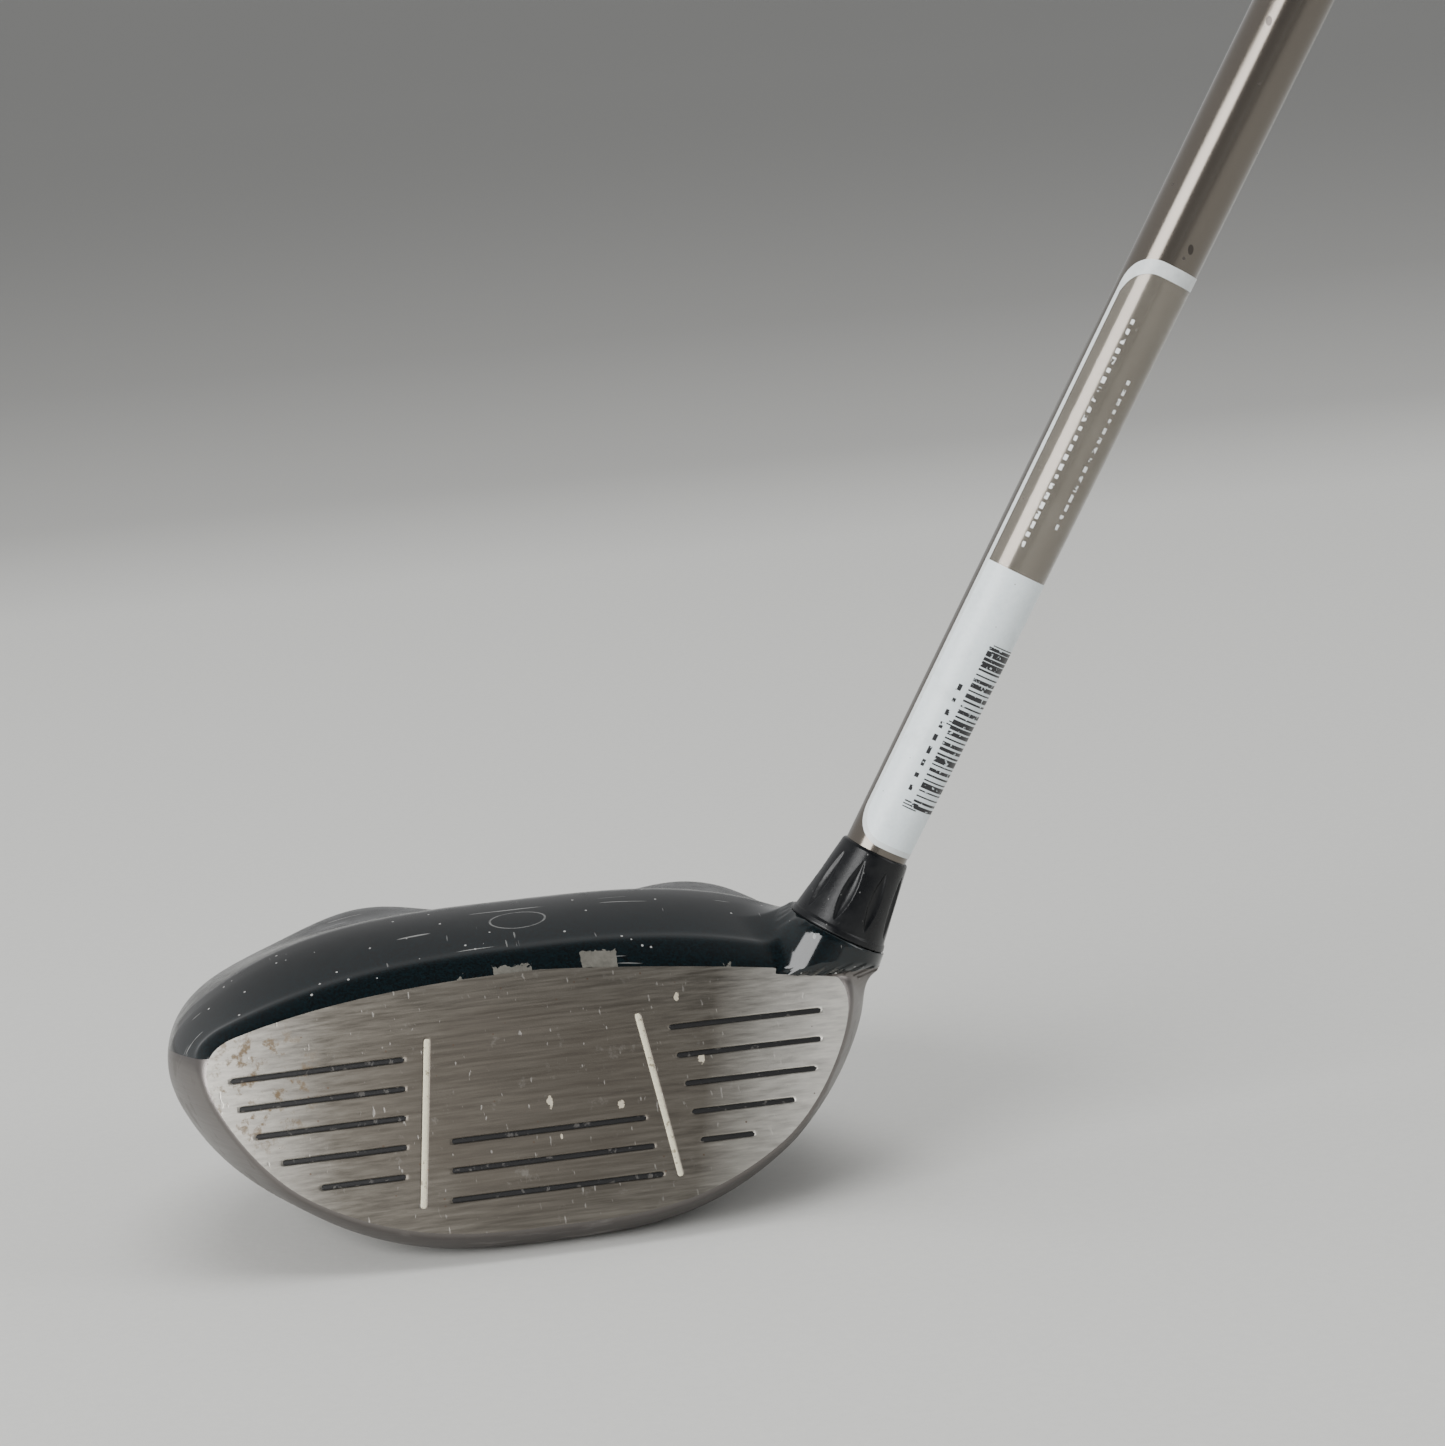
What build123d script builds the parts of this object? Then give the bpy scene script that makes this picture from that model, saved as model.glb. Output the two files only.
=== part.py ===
from build123d import *
import math
import os

os.makedirs("parts", exist_ok=True)

# Frame: the club stands at address.  +Z is up and the ground is Z = 0, the face looks
# towards -Y, the toe is at -X and the shaft leans to +X.  The origin is the middle of
# the flat on the sole, straight below the middle of the face.  Everything is in mm.

# ---------------------------------------------------------------- head, outside
LOFT = 18.0                 # how far the face leans back from vertical
FACE_RADIUS = 280.0         # bulge and roll of the face
LEADING_EDGE_Y = -14.0      # where the face would meet the ground
FACE_CENTRE_Z = 17.5        # height of the middle of the face
HEAD_CENTRE_X = 0.4         # middle of the head, toe to heel
HALF_LENGTH = 49.7          # half the toe-to-heel length at the widest place
WIDEST_Y = 12.0             # how far back the widest place is
BACK_Y = 66.0               # rearmost point of the head
RIM_Z = 30.5                # height of the crown's rim above the origin
RIM_FALL = 0.08             # how fast the rim drops towards the back
CROWN_LAP = 1.2             # how far the painted crown comes down past its rim
KEEL_DEPTH = 0.25           # how much is ground off the keel to make the flat
SKIRT_ROUNDING = 10.0       # radius between sole and side wall
FACE_ROUNDING = 1.0         # radius all round the face

# ---------------------------------------------------------------- head, walls
FACE_WALL = 2.4
CROWN_WALL = 0.9
SKIRT_WALL = 1.3
SOLE_WALL = 2.0
SOLE_PLATE_Y = 17.0         # middle of the sole plate, back from the origin
SOLE_PLATE_HALF_LENGTH = 27.0
SOLE_PLATE_HALF_WIDTH = 22.0

# ---------------------------------------------------------------- face grooves
GROOVE_WIDTH = 0.9
GROOVE_DEPTH = 0.3
GROOVE_PITCH = 3.9
GROOVE_TOP = 10.35          # top groove, measured up the face from its middle
TOE_GROOVES = ((-40.9, -17.6), (-40.2, -17.9), (-38.4, -18.3), (-35.3, -18.6), (-30.6, -19.2))
MIDDLE_GROOVES = ((-12.7, 13.8), (-13.1, 14.5), (-13.6, 15.2))
HEEL_GROOVES = ((18.4, 39.8), (19.0, 39.3), (19.6, 38.1), (20.1, 34.5), (20.8, 28.3))
MIDDLE_FIRST_ROW = 3        # the middle group starts this many pitches down
SIGHT_LINE_WIDTH = 1.15
SIGHT_LINE_LENGTH = 22.6
SIGHT_LINE_X = 15.9         # middle of each line, either side of the face's middle
SIGHT_LINE_UP = 1.5
SIGHT_LINE_LEAN = 8.0       # degrees each line leans, wider apart at the bottom

# ---------------------------------------------------------------- shaft line
LIE = 59.0                  # shaft to ground
SHAFT_GROUND_X = 22.8       # where the shaft's axis meets the ground
SHAFT_Y = 5.0
CLUB_LENGTH = 1067.0        # ground to the end of the cap, along the shaft

# ---------------------------------------------------------------- hosel
HOSEL_TOP = 41.4            # distance along the shaft line from the ground
HOSEL_SEAT_RADIUS = 7.15
HOSEL_ROOT = 27.0           # where the neck starts to flare out of the tube
HOSEL_ROOT_RADIUS = 8.7
HOSEL_TUBE_RADIUS = 6.2
HOSEL_FLOOR = 12.0
BORE_BOTTOM = 13.5
BORE_RADIUS = 4.55

# ---------------------------------------------------------------- ferrule
FERRULE_LENGTH = 12.4
FERRULE_BASE_RADIUS = 7.1
FERRULE_TOP_RADIUS = 4.9
FERRULE_LIP = 0.9
FERRULE_WAIST = 0.3         # how far the cone sits inside its two lips
FLUTES = 9
FLUTE_LENGTH = 8.2
FLUTE_RADIUS = 1.0

# ---------------------------------------------------------------- shaft
TIP_RADIUS = 4.45
TAPER_START = 48.0          # the tip is parallel up to here
TAPER = 0.0085              # growth of the diameter, mm per mm
BUTT_RADIUS = 7.62
TIP_WALL = 1.7
BUTT_WALL = 1.0
PLUG_LENGTH = 12.0

# ---------------------------------------------------------------- label
LABEL_START = 56.0
LABEL_END = 143.0
LABEL_THICKNESS = 0.1
LABEL_TURN = 195.0          # where round the shaft the label starts
LABEL_WRAP = 250.0          # degrees it reaches round the shaft

# ---------------------------------------------------------------- grip
GRIP_LENGTH = 262.0
GRIP_MOUTH_RADIUS = 10.1
GRIP_BUTT_RADIUS = 13.2
CAP_RADIUS = 15.2
CAP_LENGTH = 9.0
CAP_WALL = 5.0              # rubber over the end of the shaft
TAPE_THICKNESS = 0.2
VENT_RADIUS = 1.5

TAPER_END = TAPER_START + 2 * (BUTT_RADIUS - TIP_RADIUS) / TAPER
TIP_END = BORE_BOTTOM + 0.2
SHAFT_END = CLUB_LENGTH - CAP_WALL
CAP_START = CLUB_LENGTH - CAP_LENGTH
GRIP_START = CAP_START - GRIP_LENGTH
FERRULE_TOP = HOSEL_TOP + FERRULE_LENGTH

# ---------------------------------------------------------------- face frame
# Local X runs towards the heel, local Y up the face and local Z out of the face.
SIN_LOFT = math.sin(math.radians(LOFT))
COS_LOFT = math.cos(math.radians(LOFT))
FACE_CENTRE_Y = LEADING_EDGE_Y + FACE_CENTRE_Z * SIN_LOFT / COS_LOFT
face_plane = Plane((0, FACE_CENTRE_Y, FACE_CENTRE_Z), x_dir=(1, 0, 0), z_dir=(0, -COS_LOFT, SIN_LOFT))
bulge_centre = face_plane.offset(-FACE_RADIUS).origin

# ---------------------------------------------------------------- shaft frame
SIN_LIE = math.sin(math.radians(LIE))
COS_LIE = math.cos(math.radians(LIE))
shaft_foot = Vector(SHAFT_GROUND_X, SHAFT_Y, 0)
shaft_direction = Vector(COS_LIE, 0, SIN_LIE)
shaft_axis = Axis(shaft_foot, shaft_direction)


def profile_plane(turn=0.0):
    """Plane through the shaft's axis: local X is the radius, local Y runs up the shaft.

    Turn 0 points the radius to the heel side and 90 points it to the back.
    """
    across = math.cos(math.radians(turn))
    back = math.sin(math.radians(turn))
    radius = Vector(across * SIN_LIE, back, -across * COS_LIE)
    return Plane(shaft_foot, x_dir=radius, z_dir=radius.cross(shaft_direction))


def turned(profile, turn=0.0, arc=360.0):
    """Revolve a closed (radius, distance up the shaft) profile about the shaft's axis."""
    with BuildPart() as body:
        with BuildSketch(profile_plane(turn)):
            with BuildLine():
                Polyline(*profile, close=True)
            make_face()
        revolve(axis=shaft_axis, revolution_arc=arc)
    return body.part


def rod(radius, start, end):
    """Plain round bar on the shaft's axis."""
    return turned([(0, start), (radius, start), (radius, end), (0, end)])


def tube(inner, outer, start, end):
    """Plain round sleeve on the shaft's axis."""
    return turned([(inner, start), (outer, start), (outer, end), (inner, end)])


# ================================================================ head shape
def half_length(y):
    """Half the toe-to-heel length of the head at a distance back from the origin."""
    if y < WIDEST_Y:
        return HALF_LENGTH - 4.2 * ((WIDEST_Y - y) / 13.0) ** 1.5
    return HALF_LENGTH


def head_across(x, y):
    """0 on the head's middle line, 1 on its toe and heel sides."""
    return abs(x - HEAD_CENTRE_X) / half_length(y)


def head_back(y):
    """0 as far back as the widest place, 1 at the rearmost point."""
    return max(0.0, (y - WIDEST_Y) / (BACK_Y - WIDEST_Y))


def head_reach(x, y):
    """0 in the middle of the head and 1 all round its side wall."""
    return (head_across(x, y) ** 2.2 + head_back(y) ** 2.2) ** (1 / 2.2)


def sole_height(x, y):
    """Underside: leading edge radius, flat middle, curling up at the sides and back."""
    front = max(0.0, (-7.0 - y) / 6.0)
    return -KEEL_DEPTH + 3.4 * front ** 2 + 20.0 * head_reach(x, y) ** 2.95


def crown_height(x, y):
    """Top: steep at the front, round over the middle, two low lobes at the back."""
    rim = RIM_Z - RIM_FALL * y
    if y < 14.5:
        middle = 43.4 - 7.1 * ((14.5 - y) / 17.0) ** 2
    else:
        middle = 43.4 - 17.5 * ((y - 14.5) / (BACK_Y - 14.5)) ** 1.25
    fullness = 2.0 + 1.3 * min(1.0, max(0.0, (y + 3.0) / 18.0))
    lobes = 3.8 * math.exp(-(((x + 18.0) / 13.0) ** 2)) + 4.0 * math.exp(-(((x - 31.0) / 10.5) ** 2))
    lobes *= math.exp(-(((y - 46.0) / 9.5) ** 2))
    return rim + (middle - rim) * (1.0 - head_across(x, y) ** fullness) + lobes


def height_sheet(height, shift):
    """Smooth sheet over the head's plan, following a height rule moved by shift."""
    rows = []
    for i in range(29):
        x = -56.0 + 4.0 * i
        rows.append([(x, -24.0 + 4.0 * j, height(x, -24.0 + 4.0 * j) + shift) for j in range(25)])
    return Face.make_surface_from_array_of_points(rows, tol=0.02)


def plan_outline(inset):
    """Points round the head seen from above, toe side front to heel side front."""
    toe_side = [(-half_length(y) + inset, y) for y in (-24.0, -18.0, -12.0, -6.0, 0.0, 6.0)]
    heel_side = [(-x, y) for x, y in reversed(toe_side)]
    back = []
    for step in range(15):
        turn = math.pi * step / 14
        across = math.copysign(abs(math.cos(turn)) ** (2 / 2.2), -math.cos(turn))
        behind = math.sin(turn) ** (2 / 2.2)
        back.append(((HALF_LENGTH - inset) * across, WIDEST_Y + (BACK_Y - inset - WIDEST_Y) * behind))
    return [(x + HEAD_CENTRE_X, y) for x, y in toe_side + back + heel_side]


def head_block(face_wall, crown_wall, side_wall, sole_wall):
    """Solid head moved inwards by its four wall sizes; all zero gives the outside."""
    outline = plan_outline(side_wall)
    with BuildPart() as block:
        with BuildSketch(Plane.XY.offset(-30)):
            with BuildLine():
                Spline(*outline)
                Line(outline[-1], outline[0])
            make_face()
        extrude(amount=100)
        extrude(height_sheet(crown_height, -crown_wall), amount=120, dir=(0, 0, -1), mode=Mode.INTERSECT)
        extrude(height_sheet(sole_height, sole_wall), amount=120, dir=(0, 0, 1), mode=Mode.INTERSECT)
        with Locations(bulge_centre):
            Sphere(FACE_RADIUS - face_wall, mode=Mode.INTERSECT)
    return block.part


# The closed outside with its edges rounded, and the cavity inside it.
with BuildPart() as hull:
    add(head_block(0, 0, 0, 0))
    fillet(hull.edges().filter_by(lambda edge: edge.length > 150).sort_by(Axis.Z)[0], SKIRT_ROUNDING)
    front_edges = hull.edges().filter_by(lambda edge: (edge @ 0.5).Y < 5)
    fillet(front_edges.sort_by(Edge.length)[-2:], FACE_ROUNDING)

cavity = head_block(FACE_WALL, CROWN_WALL, SKIRT_WALL, SOLE_WALL)

with BuildPart() as behind_face:
    with Locations(bulge_centre):
        Sphere(FACE_RADIUS - FACE_WALL)

# The hosel before it is bored: a tube inside the head and a tapered neck above it.
hosel_blank = turned(
    [
        (0, HOSEL_FLOOR),
        (HOSEL_TUBE_RADIUS, HOSEL_FLOOR),
        (HOSEL_TUBE_RADIUS, HOSEL_ROOT - 2.5),
        (HOSEL_ROOT_RADIUS, HOSEL_ROOT),
        (HOSEL_SEAT_RADIUS, HOSEL_TOP),
        (0, HOSEL_TOP),
    ]
)

with BuildPart() as below_ground:
    with Locations((0, 0, -5)):
        Box(200, 200, 10)

# ================================================================ crown
# The painted top of the head: the shell from just below the rim up, cut away for the
# hosel.
with BuildPart() as crown_plate:
    with BuildSketch(Plane((0, 0, RIM_Z - CROWN_LAP), x_dir=(1, 0, 0), z_dir=(0, RIM_FALL, 1))):
        Rectangle(200, 200)
    extrude(amount=60)
    add(hull.part, mode=Mode.INTERSECT)
    add(cavity, mode=Mode.SUBTRACT)
    add(behind_face.part, mode=Mode.INTERSECT)
    add(hosel_blank, mode=Mode.SUBTRACT)

# ================================================================ face
# All grooves reach the same depth: their cutter is a thin shell of the face's own
# radius, trimmed to straight bars.
with BuildPart() as groove_cutter:
    with BuildSketch(face_plane.offset(-12)):
        groups = ((0, TOE_GROOVES), (MIDDLE_FIRST_ROW, MIDDLE_GROOVES), (0, HEEL_GROOVES))
        for first_row, group in groups:
            for row, (start, end) in enumerate(group):
                up = GROOVE_TOP - GROOVE_PITCH * (first_row + row)
                with Locations((0.5 * (start + end), up)):
                    SlotOverall(end - start, GROOVE_WIDTH)
        for side in (-1, 1):
            with Locations((side * SIGHT_LINE_X, SIGHT_LINE_UP)):
                SlotOverall(SIGHT_LINE_LENGTH, SIGHT_LINE_WIDTH, rotation=90 + side * SIGHT_LINE_LEAN)
    extrude(amount=24)
    with Locations(bulge_centre):
        Sphere(FACE_RADIUS - GROOVE_DEPTH, mode=Mode.SUBTRACT)

with BuildPart() as face_blank:
    add(hull.part)
    add(behind_face.part, mode=Mode.SUBTRACT)
    add(hosel_blank, mode=Mode.SUBTRACT)

with BuildPart() as face_plate:
    add(face_blank.part)
    add(groove_cutter.part, mode=Mode.SUBTRACT)

# ================================================================ sole plate
# The plate let into the middle of the sole; its lowest part is ground flat.
with BuildPart() as sole_plate:
    with BuildSketch(Plane.XY.offset(-2)):
        with Locations((0, SOLE_PLATE_Y)):
            Ellipse(SOLE_PLATE_HALF_LENGTH, SOLE_PLATE_HALF_WIDTH)
    extrude(amount=16)
    add(hull.part, mode=Mode.INTERSECT)
    add(cavity, mode=Mode.SUBTRACT)
    add(below_ground.part, mode=Mode.SUBTRACT)

# ================================================================ head body
# The casting: skirt and sole frame between the crown, the face and the sole plate.
with BuildPart() as head_body:
    add(hull.part)
    add(cavity, mode=Mode.SUBTRACT)
    for neighbour in (face_blank, crown_plate, sole_plate, below_ground):
        add(neighbour.part, mode=Mode.SUBTRACT)
    add(hosel_blank, mode=Mode.SUBTRACT)

# ================================================================ hosel
# Turned steel, welded into the body, with the blind bore that the shaft is glued in.
with BuildPart() as hosel:
    add(hosel_blank)
    add(rod(BORE_RADIUS, BORE_BOTTOM, HOSEL_TOP + 20), mode=Mode.SUBTRACT)

# ================================================================ hot melt
# A puddle of tacky glue inside the head that catches loose specks.
with BuildPart() as hot_melt:
    with Locations((-20, 30, -6)):
        Sphere(15.5)
    add(cavity, mode=Mode.INTERSECT)

# ================================================================ shaft
# Rolled tube: parallel tip, long straight taper, parallel butt, thicker wall at the tip.
with BuildPart() as shaft:
    add(
        turned(
            [
                (TIP_RADIUS - TIP_WALL, TIP_END),
                (TIP_RADIUS, TIP_END),
                (TIP_RADIUS, TAPER_START),
                (BUTT_RADIUS, TAPER_END),
                (BUTT_RADIUS, SHAFT_END),
                (BUTT_RADIUS - BUTT_WALL, SHAFT_END),
            ]
        )
    )


def shaft_radius(distance):
    """Outside radius of the shaft at a distance up its axis."""
    grown = TIP_RADIUS + 0.5 * TAPER * max(0.0, distance - TAPER_START)
    return min(BUTT_RADIUS, grown)


# ================================================================ tip plug and glue
# The plug keeps glue out of the shaft; it follows the slightly widening inside wall.
plug_end = TIP_END + PLUG_LENGTH
inside_growth = (BUTT_RADIUS - BUTT_WALL - TIP_RADIUS + TIP_WALL) / (SHAFT_END - TIP_END)
plug_radius = TIP_RADIUS - TIP_WALL
with BuildPart() as tip_plug:
    plug_top_radius = plug_radius + inside_growth * PLUG_LENGTH
    add(turned([(0, TIP_END), (plug_radius, TIP_END), (plug_top_radius, plug_end), (0, plug_end)]))

with BuildPart() as bond_sleeve:
    add(tube(TIP_RADIUS, BORE_RADIUS, TIP_END + 0.5, HOSEL_TOP - 0.4))

# ================================================================ ferrule
# Black plastic collar: a cone between two plain lips, with leaf-shaped flutes round it.
ferrule_bore = TIP_RADIUS + 0.05
waist_start = HOSEL_TOP + FERRULE_LIP + FERRULE_WAIST
waist_end = FERRULE_TOP - FERRULE_LIP
waist_radius = FERRULE_BASE_RADIUS - FERRULE_WAIST


def flute(turn):
    """Spindle lying in the cone's surface: an arc revolved about its own chord."""
    run = Vector(FERRULE_TOP_RADIUS - waist_radius, waist_end - waist_start)
    along = run.normalized() * (0.5 * FLUTE_LENGTH)
    middle = Vector(0.5 * (waist_radius + FERRULE_TOP_RADIUS), 0.5 * (waist_start + waist_end))
    outwards = Vector(along.Y, -along.X).normalized() * FLUTE_RADIUS
    plane = profile_plane(turn)
    chord_start = plane.from_local_coords(middle - along)
    chord_end = plane.from_local_coords(middle + along)
    with BuildPart() as spindle:
        with BuildSketch(plane):
            with BuildLine():
                ThreePointArc(middle - along, middle + outwards, middle + along)
                Line(middle + along, middle - along)
            make_face()
        revolve(axis=Axis(chord_start, chord_end - chord_start))
    return spindle.part


with BuildPart() as ferrule:
    add(
        turned(
            [
                (ferrule_bore, HOSEL_TOP),
                (FERRULE_BASE_RADIUS, HOSEL_TOP),
                (FERRULE_BASE_RADIUS, waist_start - FERRULE_WAIST),
                (waist_radius, waist_start),
                (FERRULE_TOP_RADIUS, waist_end),
                (FERRULE_TOP_RADIUS, FERRULE_TOP),
                (ferrule_bore, FERRULE_TOP),
            ]
        )
    )
    for index in range(FLUTES):
        add(flute(360.0 * index / FLUTES), mode=Mode.SUBTRACT)

# ================================================================ shaft label
with BuildPart() as shaft_label:
    inner_start = shaft_radius(LABEL_START)
    inner_end = shaft_radius(LABEL_END)
    film = [
        (inner_start, LABEL_START),
        (inner_start + LABEL_THICKNESS, LABEL_START),
        (inner_end + LABEL_THICKNESS, LABEL_END),
        (inner_end, LABEL_END),
    ]
    add(turned(film, turn=LABEL_TURN, arc=LABEL_WRAP))

# ================================================================ grip
# Two-sided tape is wound on the butt first, the rubber sleeve slides over it, and the
# harder end cap with its vent hole closes it.
tape_radius = BUTT_RADIUS + TAPE_THICKNESS
with BuildPart() as grip_tape:
    add(tube(BUTT_RADIUS, tape_radius, GRIP_START + 2, SHAFT_END))

with BuildPart() as grip_sleeve:
    add(
        turned(
            [
                (tape_radius, GRIP_START),
                (GRIP_MOUTH_RADIUS - 0.8, GRIP_START),
                (GRIP_MOUTH_RADIUS, GRIP_START + 0.8),
                (GRIP_BUTT_RADIUS, CAP_START),
                (tape_radius, CAP_START),
            ]
        )
    )

with BuildPart() as grip_cap:
    add(
        turned(
            [
                (tape_radius, CAP_START),
                (GRIP_BUTT_RADIUS, CAP_START),
                (CAP_RADIUS, CLUB_LENGTH - 5.0),
                (CAP_RADIUS, CLUB_LENGTH - 2.5),
                (CAP_RADIUS - 2.5, CLUB_LENGTH),
                (VENT_RADIUS, CLUB_LENGTH),
                (VENT_RADIUS, SHAFT_END),
                (tape_radius, SHAFT_END),
            ]
        )
    )

# ================================================================ export
pieces = {
    "face_plate": face_plate,
    "crown_plate": crown_plate,
    "head_body": head_body,
    "hosel": hosel,
    "sole_plate": sole_plate,
    "hot_melt": hot_melt,
    "ferrule": ferrule,
    "bond_sleeve": bond_sleeve,
    "tip_plug": tip_plug,
    "shaft": shaft,
    "shaft_label": shaft_label,
    "grip_tape": grip_tape,
    "grip_sleeve": grip_sleeve,
    "grip_cap": grip_cap,
}
for name, piece in pieces.items():
    piece.part.label = name
    export_step(piece.part, f"parts/{name}.step")
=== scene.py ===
import math

import bmesh
import bpy
import numpy as np
from mathutils import Matrix, Vector


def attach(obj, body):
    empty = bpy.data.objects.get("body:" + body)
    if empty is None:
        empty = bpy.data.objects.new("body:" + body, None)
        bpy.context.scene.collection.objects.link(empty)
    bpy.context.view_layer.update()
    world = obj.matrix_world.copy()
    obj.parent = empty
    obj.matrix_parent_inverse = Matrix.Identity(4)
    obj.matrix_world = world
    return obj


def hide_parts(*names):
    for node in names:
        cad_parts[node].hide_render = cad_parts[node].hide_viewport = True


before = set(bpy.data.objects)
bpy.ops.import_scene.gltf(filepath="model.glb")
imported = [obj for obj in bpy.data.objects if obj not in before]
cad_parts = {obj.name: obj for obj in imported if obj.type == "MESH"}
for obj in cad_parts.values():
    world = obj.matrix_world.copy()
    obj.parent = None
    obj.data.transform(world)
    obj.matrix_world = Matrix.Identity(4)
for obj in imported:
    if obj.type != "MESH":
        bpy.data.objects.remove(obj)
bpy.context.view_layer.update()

# ---------------------------------------------------------------- viewpoint
# A long lens looks down on the face from a little to its toe side, about arm's length
# away, with the club's head low in the view and the shaft leaving at the top right.
turn, tilt, roll = math.radians(9.0), math.radians(10.4), math.radians(4.7)
ahead = Vector((math.sin(turn) * math.cos(tilt), math.cos(turn) * math.cos(tilt), -math.sin(tilt)))
level = Vector((math.cos(turn), -math.sin(turn), 0.0))
upward = level.cross(ahead)
right = level * math.cos(roll) - upward * math.sin(roll)
overhead = level * math.sin(roll) + upward * math.cos(roll)
camera = bpy.data.objects.new("camera", bpy.data.cameras.new("camera"))
bpy.context.scene.collection.objects.link(camera)
camera.data.lens = 110.6
camera.data.sensor_width = 36.0
camera.data.clip_start = 0.02
spot = Vector((0.0, -0.004, 0.018)) - ahead * 0.600 + right * 0.02466 + overhead * 0.05203
camera.matrix_world = Matrix(
    (
        (right.x, overhead.x, -ahead.x, spot.x),
        (right.y, overhead.y, -ahead.y, spot.y),
        (right.z, overhead.z, -ahead.z, spot.z),
        (0.0, 0.0, 0.0, 1.0),
    )
)
bpy.context.scene.camera = camera

# ================================================================ head shell
# A hollow stainless casting: rounded skirt and sole in satin steel, and a crown that is
# sprayed gloss black.  One smooth skin is shaped first and then cut along the paint
# line, the face and the sole plate, so the pieces meet exactly.


class Wire:
    """The output of a node, which plain sums can be written with."""

    def __init__(self, bench, socket):
        self.bench = bench
        self.socket = socket

    def sum(self, operation, *values):
        return self.bench.node("Math", {"operation": operation}, dict(enumerate(values)))

    def __add__(self, other):
        return self.sum("ADD", self, other)

    def __radd__(self, other):
        return self.sum("ADD", other, self)

    def __sub__(self, other):
        return self.sum("SUBTRACT", self, other)

    def __rsub__(self, other):
        return self.sum("SUBTRACT", other, self)

    def __mul__(self, other):
        return self.sum("MULTIPLY", self, other)

    def __rmul__(self, other):
        return self.sum("MULTIPLY", other, self)

    def __truediv__(self, other):
        return self.sum("DIVIDE", self, other)

    def __rtruediv__(self, other):
        return self.sum("DIVIDE", other, self)

    def __pow__(self, other):
        return self.sum("POWER", self, other)

    def __gt__(self, other):
        return self.sum("GREATER_THAN", self, other)

    def __lt__(self, other):
        return self.sum("LESS_THAN", self, other)

    def __abs__(self):
        return self.sum("ABSOLUTE", self)

    def least(self, other):
        return self.sum("MINIMUM", self, other)

    def most(self, other):
        return self.sum("MAXIMUM", self, other)


class Bench:
    """A node tree that is filled one node at a time."""

    def node(self, kind, settings, sockets, out=0):
        """Add a node: its type, its settings (set first), then its sockets."""
        made = self.tree.nodes.new(kind if "Node" in kind else "ShaderNode" + kind)
        for key, value in settings.items():
            if key == "stops":
                ramp = made.color_ramp.elements
                while len(ramp) < len(value):
                    ramp.new(0.5)
                for element, (position, colour) in zip(ramp, value):
                    element.position = position
                    element.color = colour if len(colour) == 4 else (*colour, 1.0)
            else:
                setattr(made, key, value)
        for key, value in sockets.items():
            if isinstance(value, Wire):
                self.tree.links.new(value.socket, made.inputs[key])
            else:
                made.inputs[key].default_value = value
        return made if out is None else Wire(self, made.outputs[out])


class Finish(Bench):
    """A surface finish: nodes are added one by one and end in one shader."""

    def __init__(self, name):
        self.material = bpy.data.materials.new(name)
        self.material.use_nodes = True
        self.tree = self.material.node_tree
        self.tree.nodes.clear()
        self.place = self.node("TexCoord", {}, {}, "Object")

    def blend(self, share, first, second, how="MIX"):
        """Mix two colours; share is how much of the second shows."""
        tints = {0: share}
        for slot, tint in ((6, first), (7, second)):
            tints[slot] = tint if isinstance(tint, Wire) else (*tint, 1.0)
        return self.node("Mix", {"data_type": "RGBA", "blend_type": how}, tints, 2)

    def cloud(self, scale, detail=4.0, stretch=(1, 1, 1), roughness=0.55, offset=(0, 0, 0)):
        """Noise from 0 to 1; scale is in features per metre, stretch squeezes each axis."""
        spread = self.node("Mapping", {}, {"Vector": self.place, "Scale": stretch, "Location": offset})
        inputs = {"Vector": spread, "Scale": scale, "Detail": detail, "Roughness": roughness}
        return self.node("TexNoise", {"noise_dimensions": "3D"}, inputs)

    def ramp(self, value, stops):
        """Remap a value to a grey: stops are (position, brightness)."""
        greys = [(position, (grey, grey, grey)) for position, grey in stops]
        return self.node("ValToRGB", {"stops": greys}, {"Fac": value})

    def specks(self, scale, size, share, offset=(0, 0, 0), stretch=(1, 1, 1)):
        """Scattered dots: 1 inside a dot.  Share is how many of the cells have one."""
        spread = self.node("Mapping", {}, {"Vector": self.place, "Scale": stretch, "Location": offset})
        settings = {"feature": "F1"}
        inputs = {"Vector": spread, "Scale": scale, "Randomness": 1.0}
        near = self.node("TexVoronoi", settings, inputs, "Distance")
        pick = self.node("TexVoronoi", settings, inputs, "Color")
        return (near < size) * (self.node("SeparateColor", {}, {"Color": pick}, 0) < share)

    def bump(self, height, depth, strength=1.0, under=None):
        inputs = {"Height": height, "Distance": depth, "Strength": strength}
        if under:
            inputs["Normal"] = under
        return self.node("Bump", {}, inputs)

    def shade(self, **sockets):
        """End in a Principled shader; underscores in the names stand for spaces."""
        named = {key.replace("_", " "): value for key, value in sockets.items()}
        for key in ("Base Color", "Coat Tint"):
            if isinstance(named.get(key), tuple):
                named[key] = (*named[key], 1.0)
        self.node("OutputMaterial", {}, {"Surface": self.node("BsdfPrincipled", {}, named)}, None)
        return self.material


MM = 0.001
FACE_R = 280.0
LOFT = math.radians(18.0)
LIE = math.radians(59.0)
face_middle = np.array([0.0, -14.0 + 17.5 * math.tan(LOFT), 17.5])
face_normal = np.array([0.0, -math.cos(LOFT), math.sin(LOFT)])
face_up = np.array([0.0, math.sin(LOFT), math.cos(LOFT)])
face_heart = face_middle - FACE_R * face_normal
shaft_foot = np.array([22.8, 5.0, 0.0])
shaft_line = np.array([math.cos(LIE), 0.0, math.sin(LIE)])
HEAD_X, HALF, WIDE_Y, TAIL_Y = 0.4, 49.7, 12.0, 66.0
SEAT = 41.4


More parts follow.
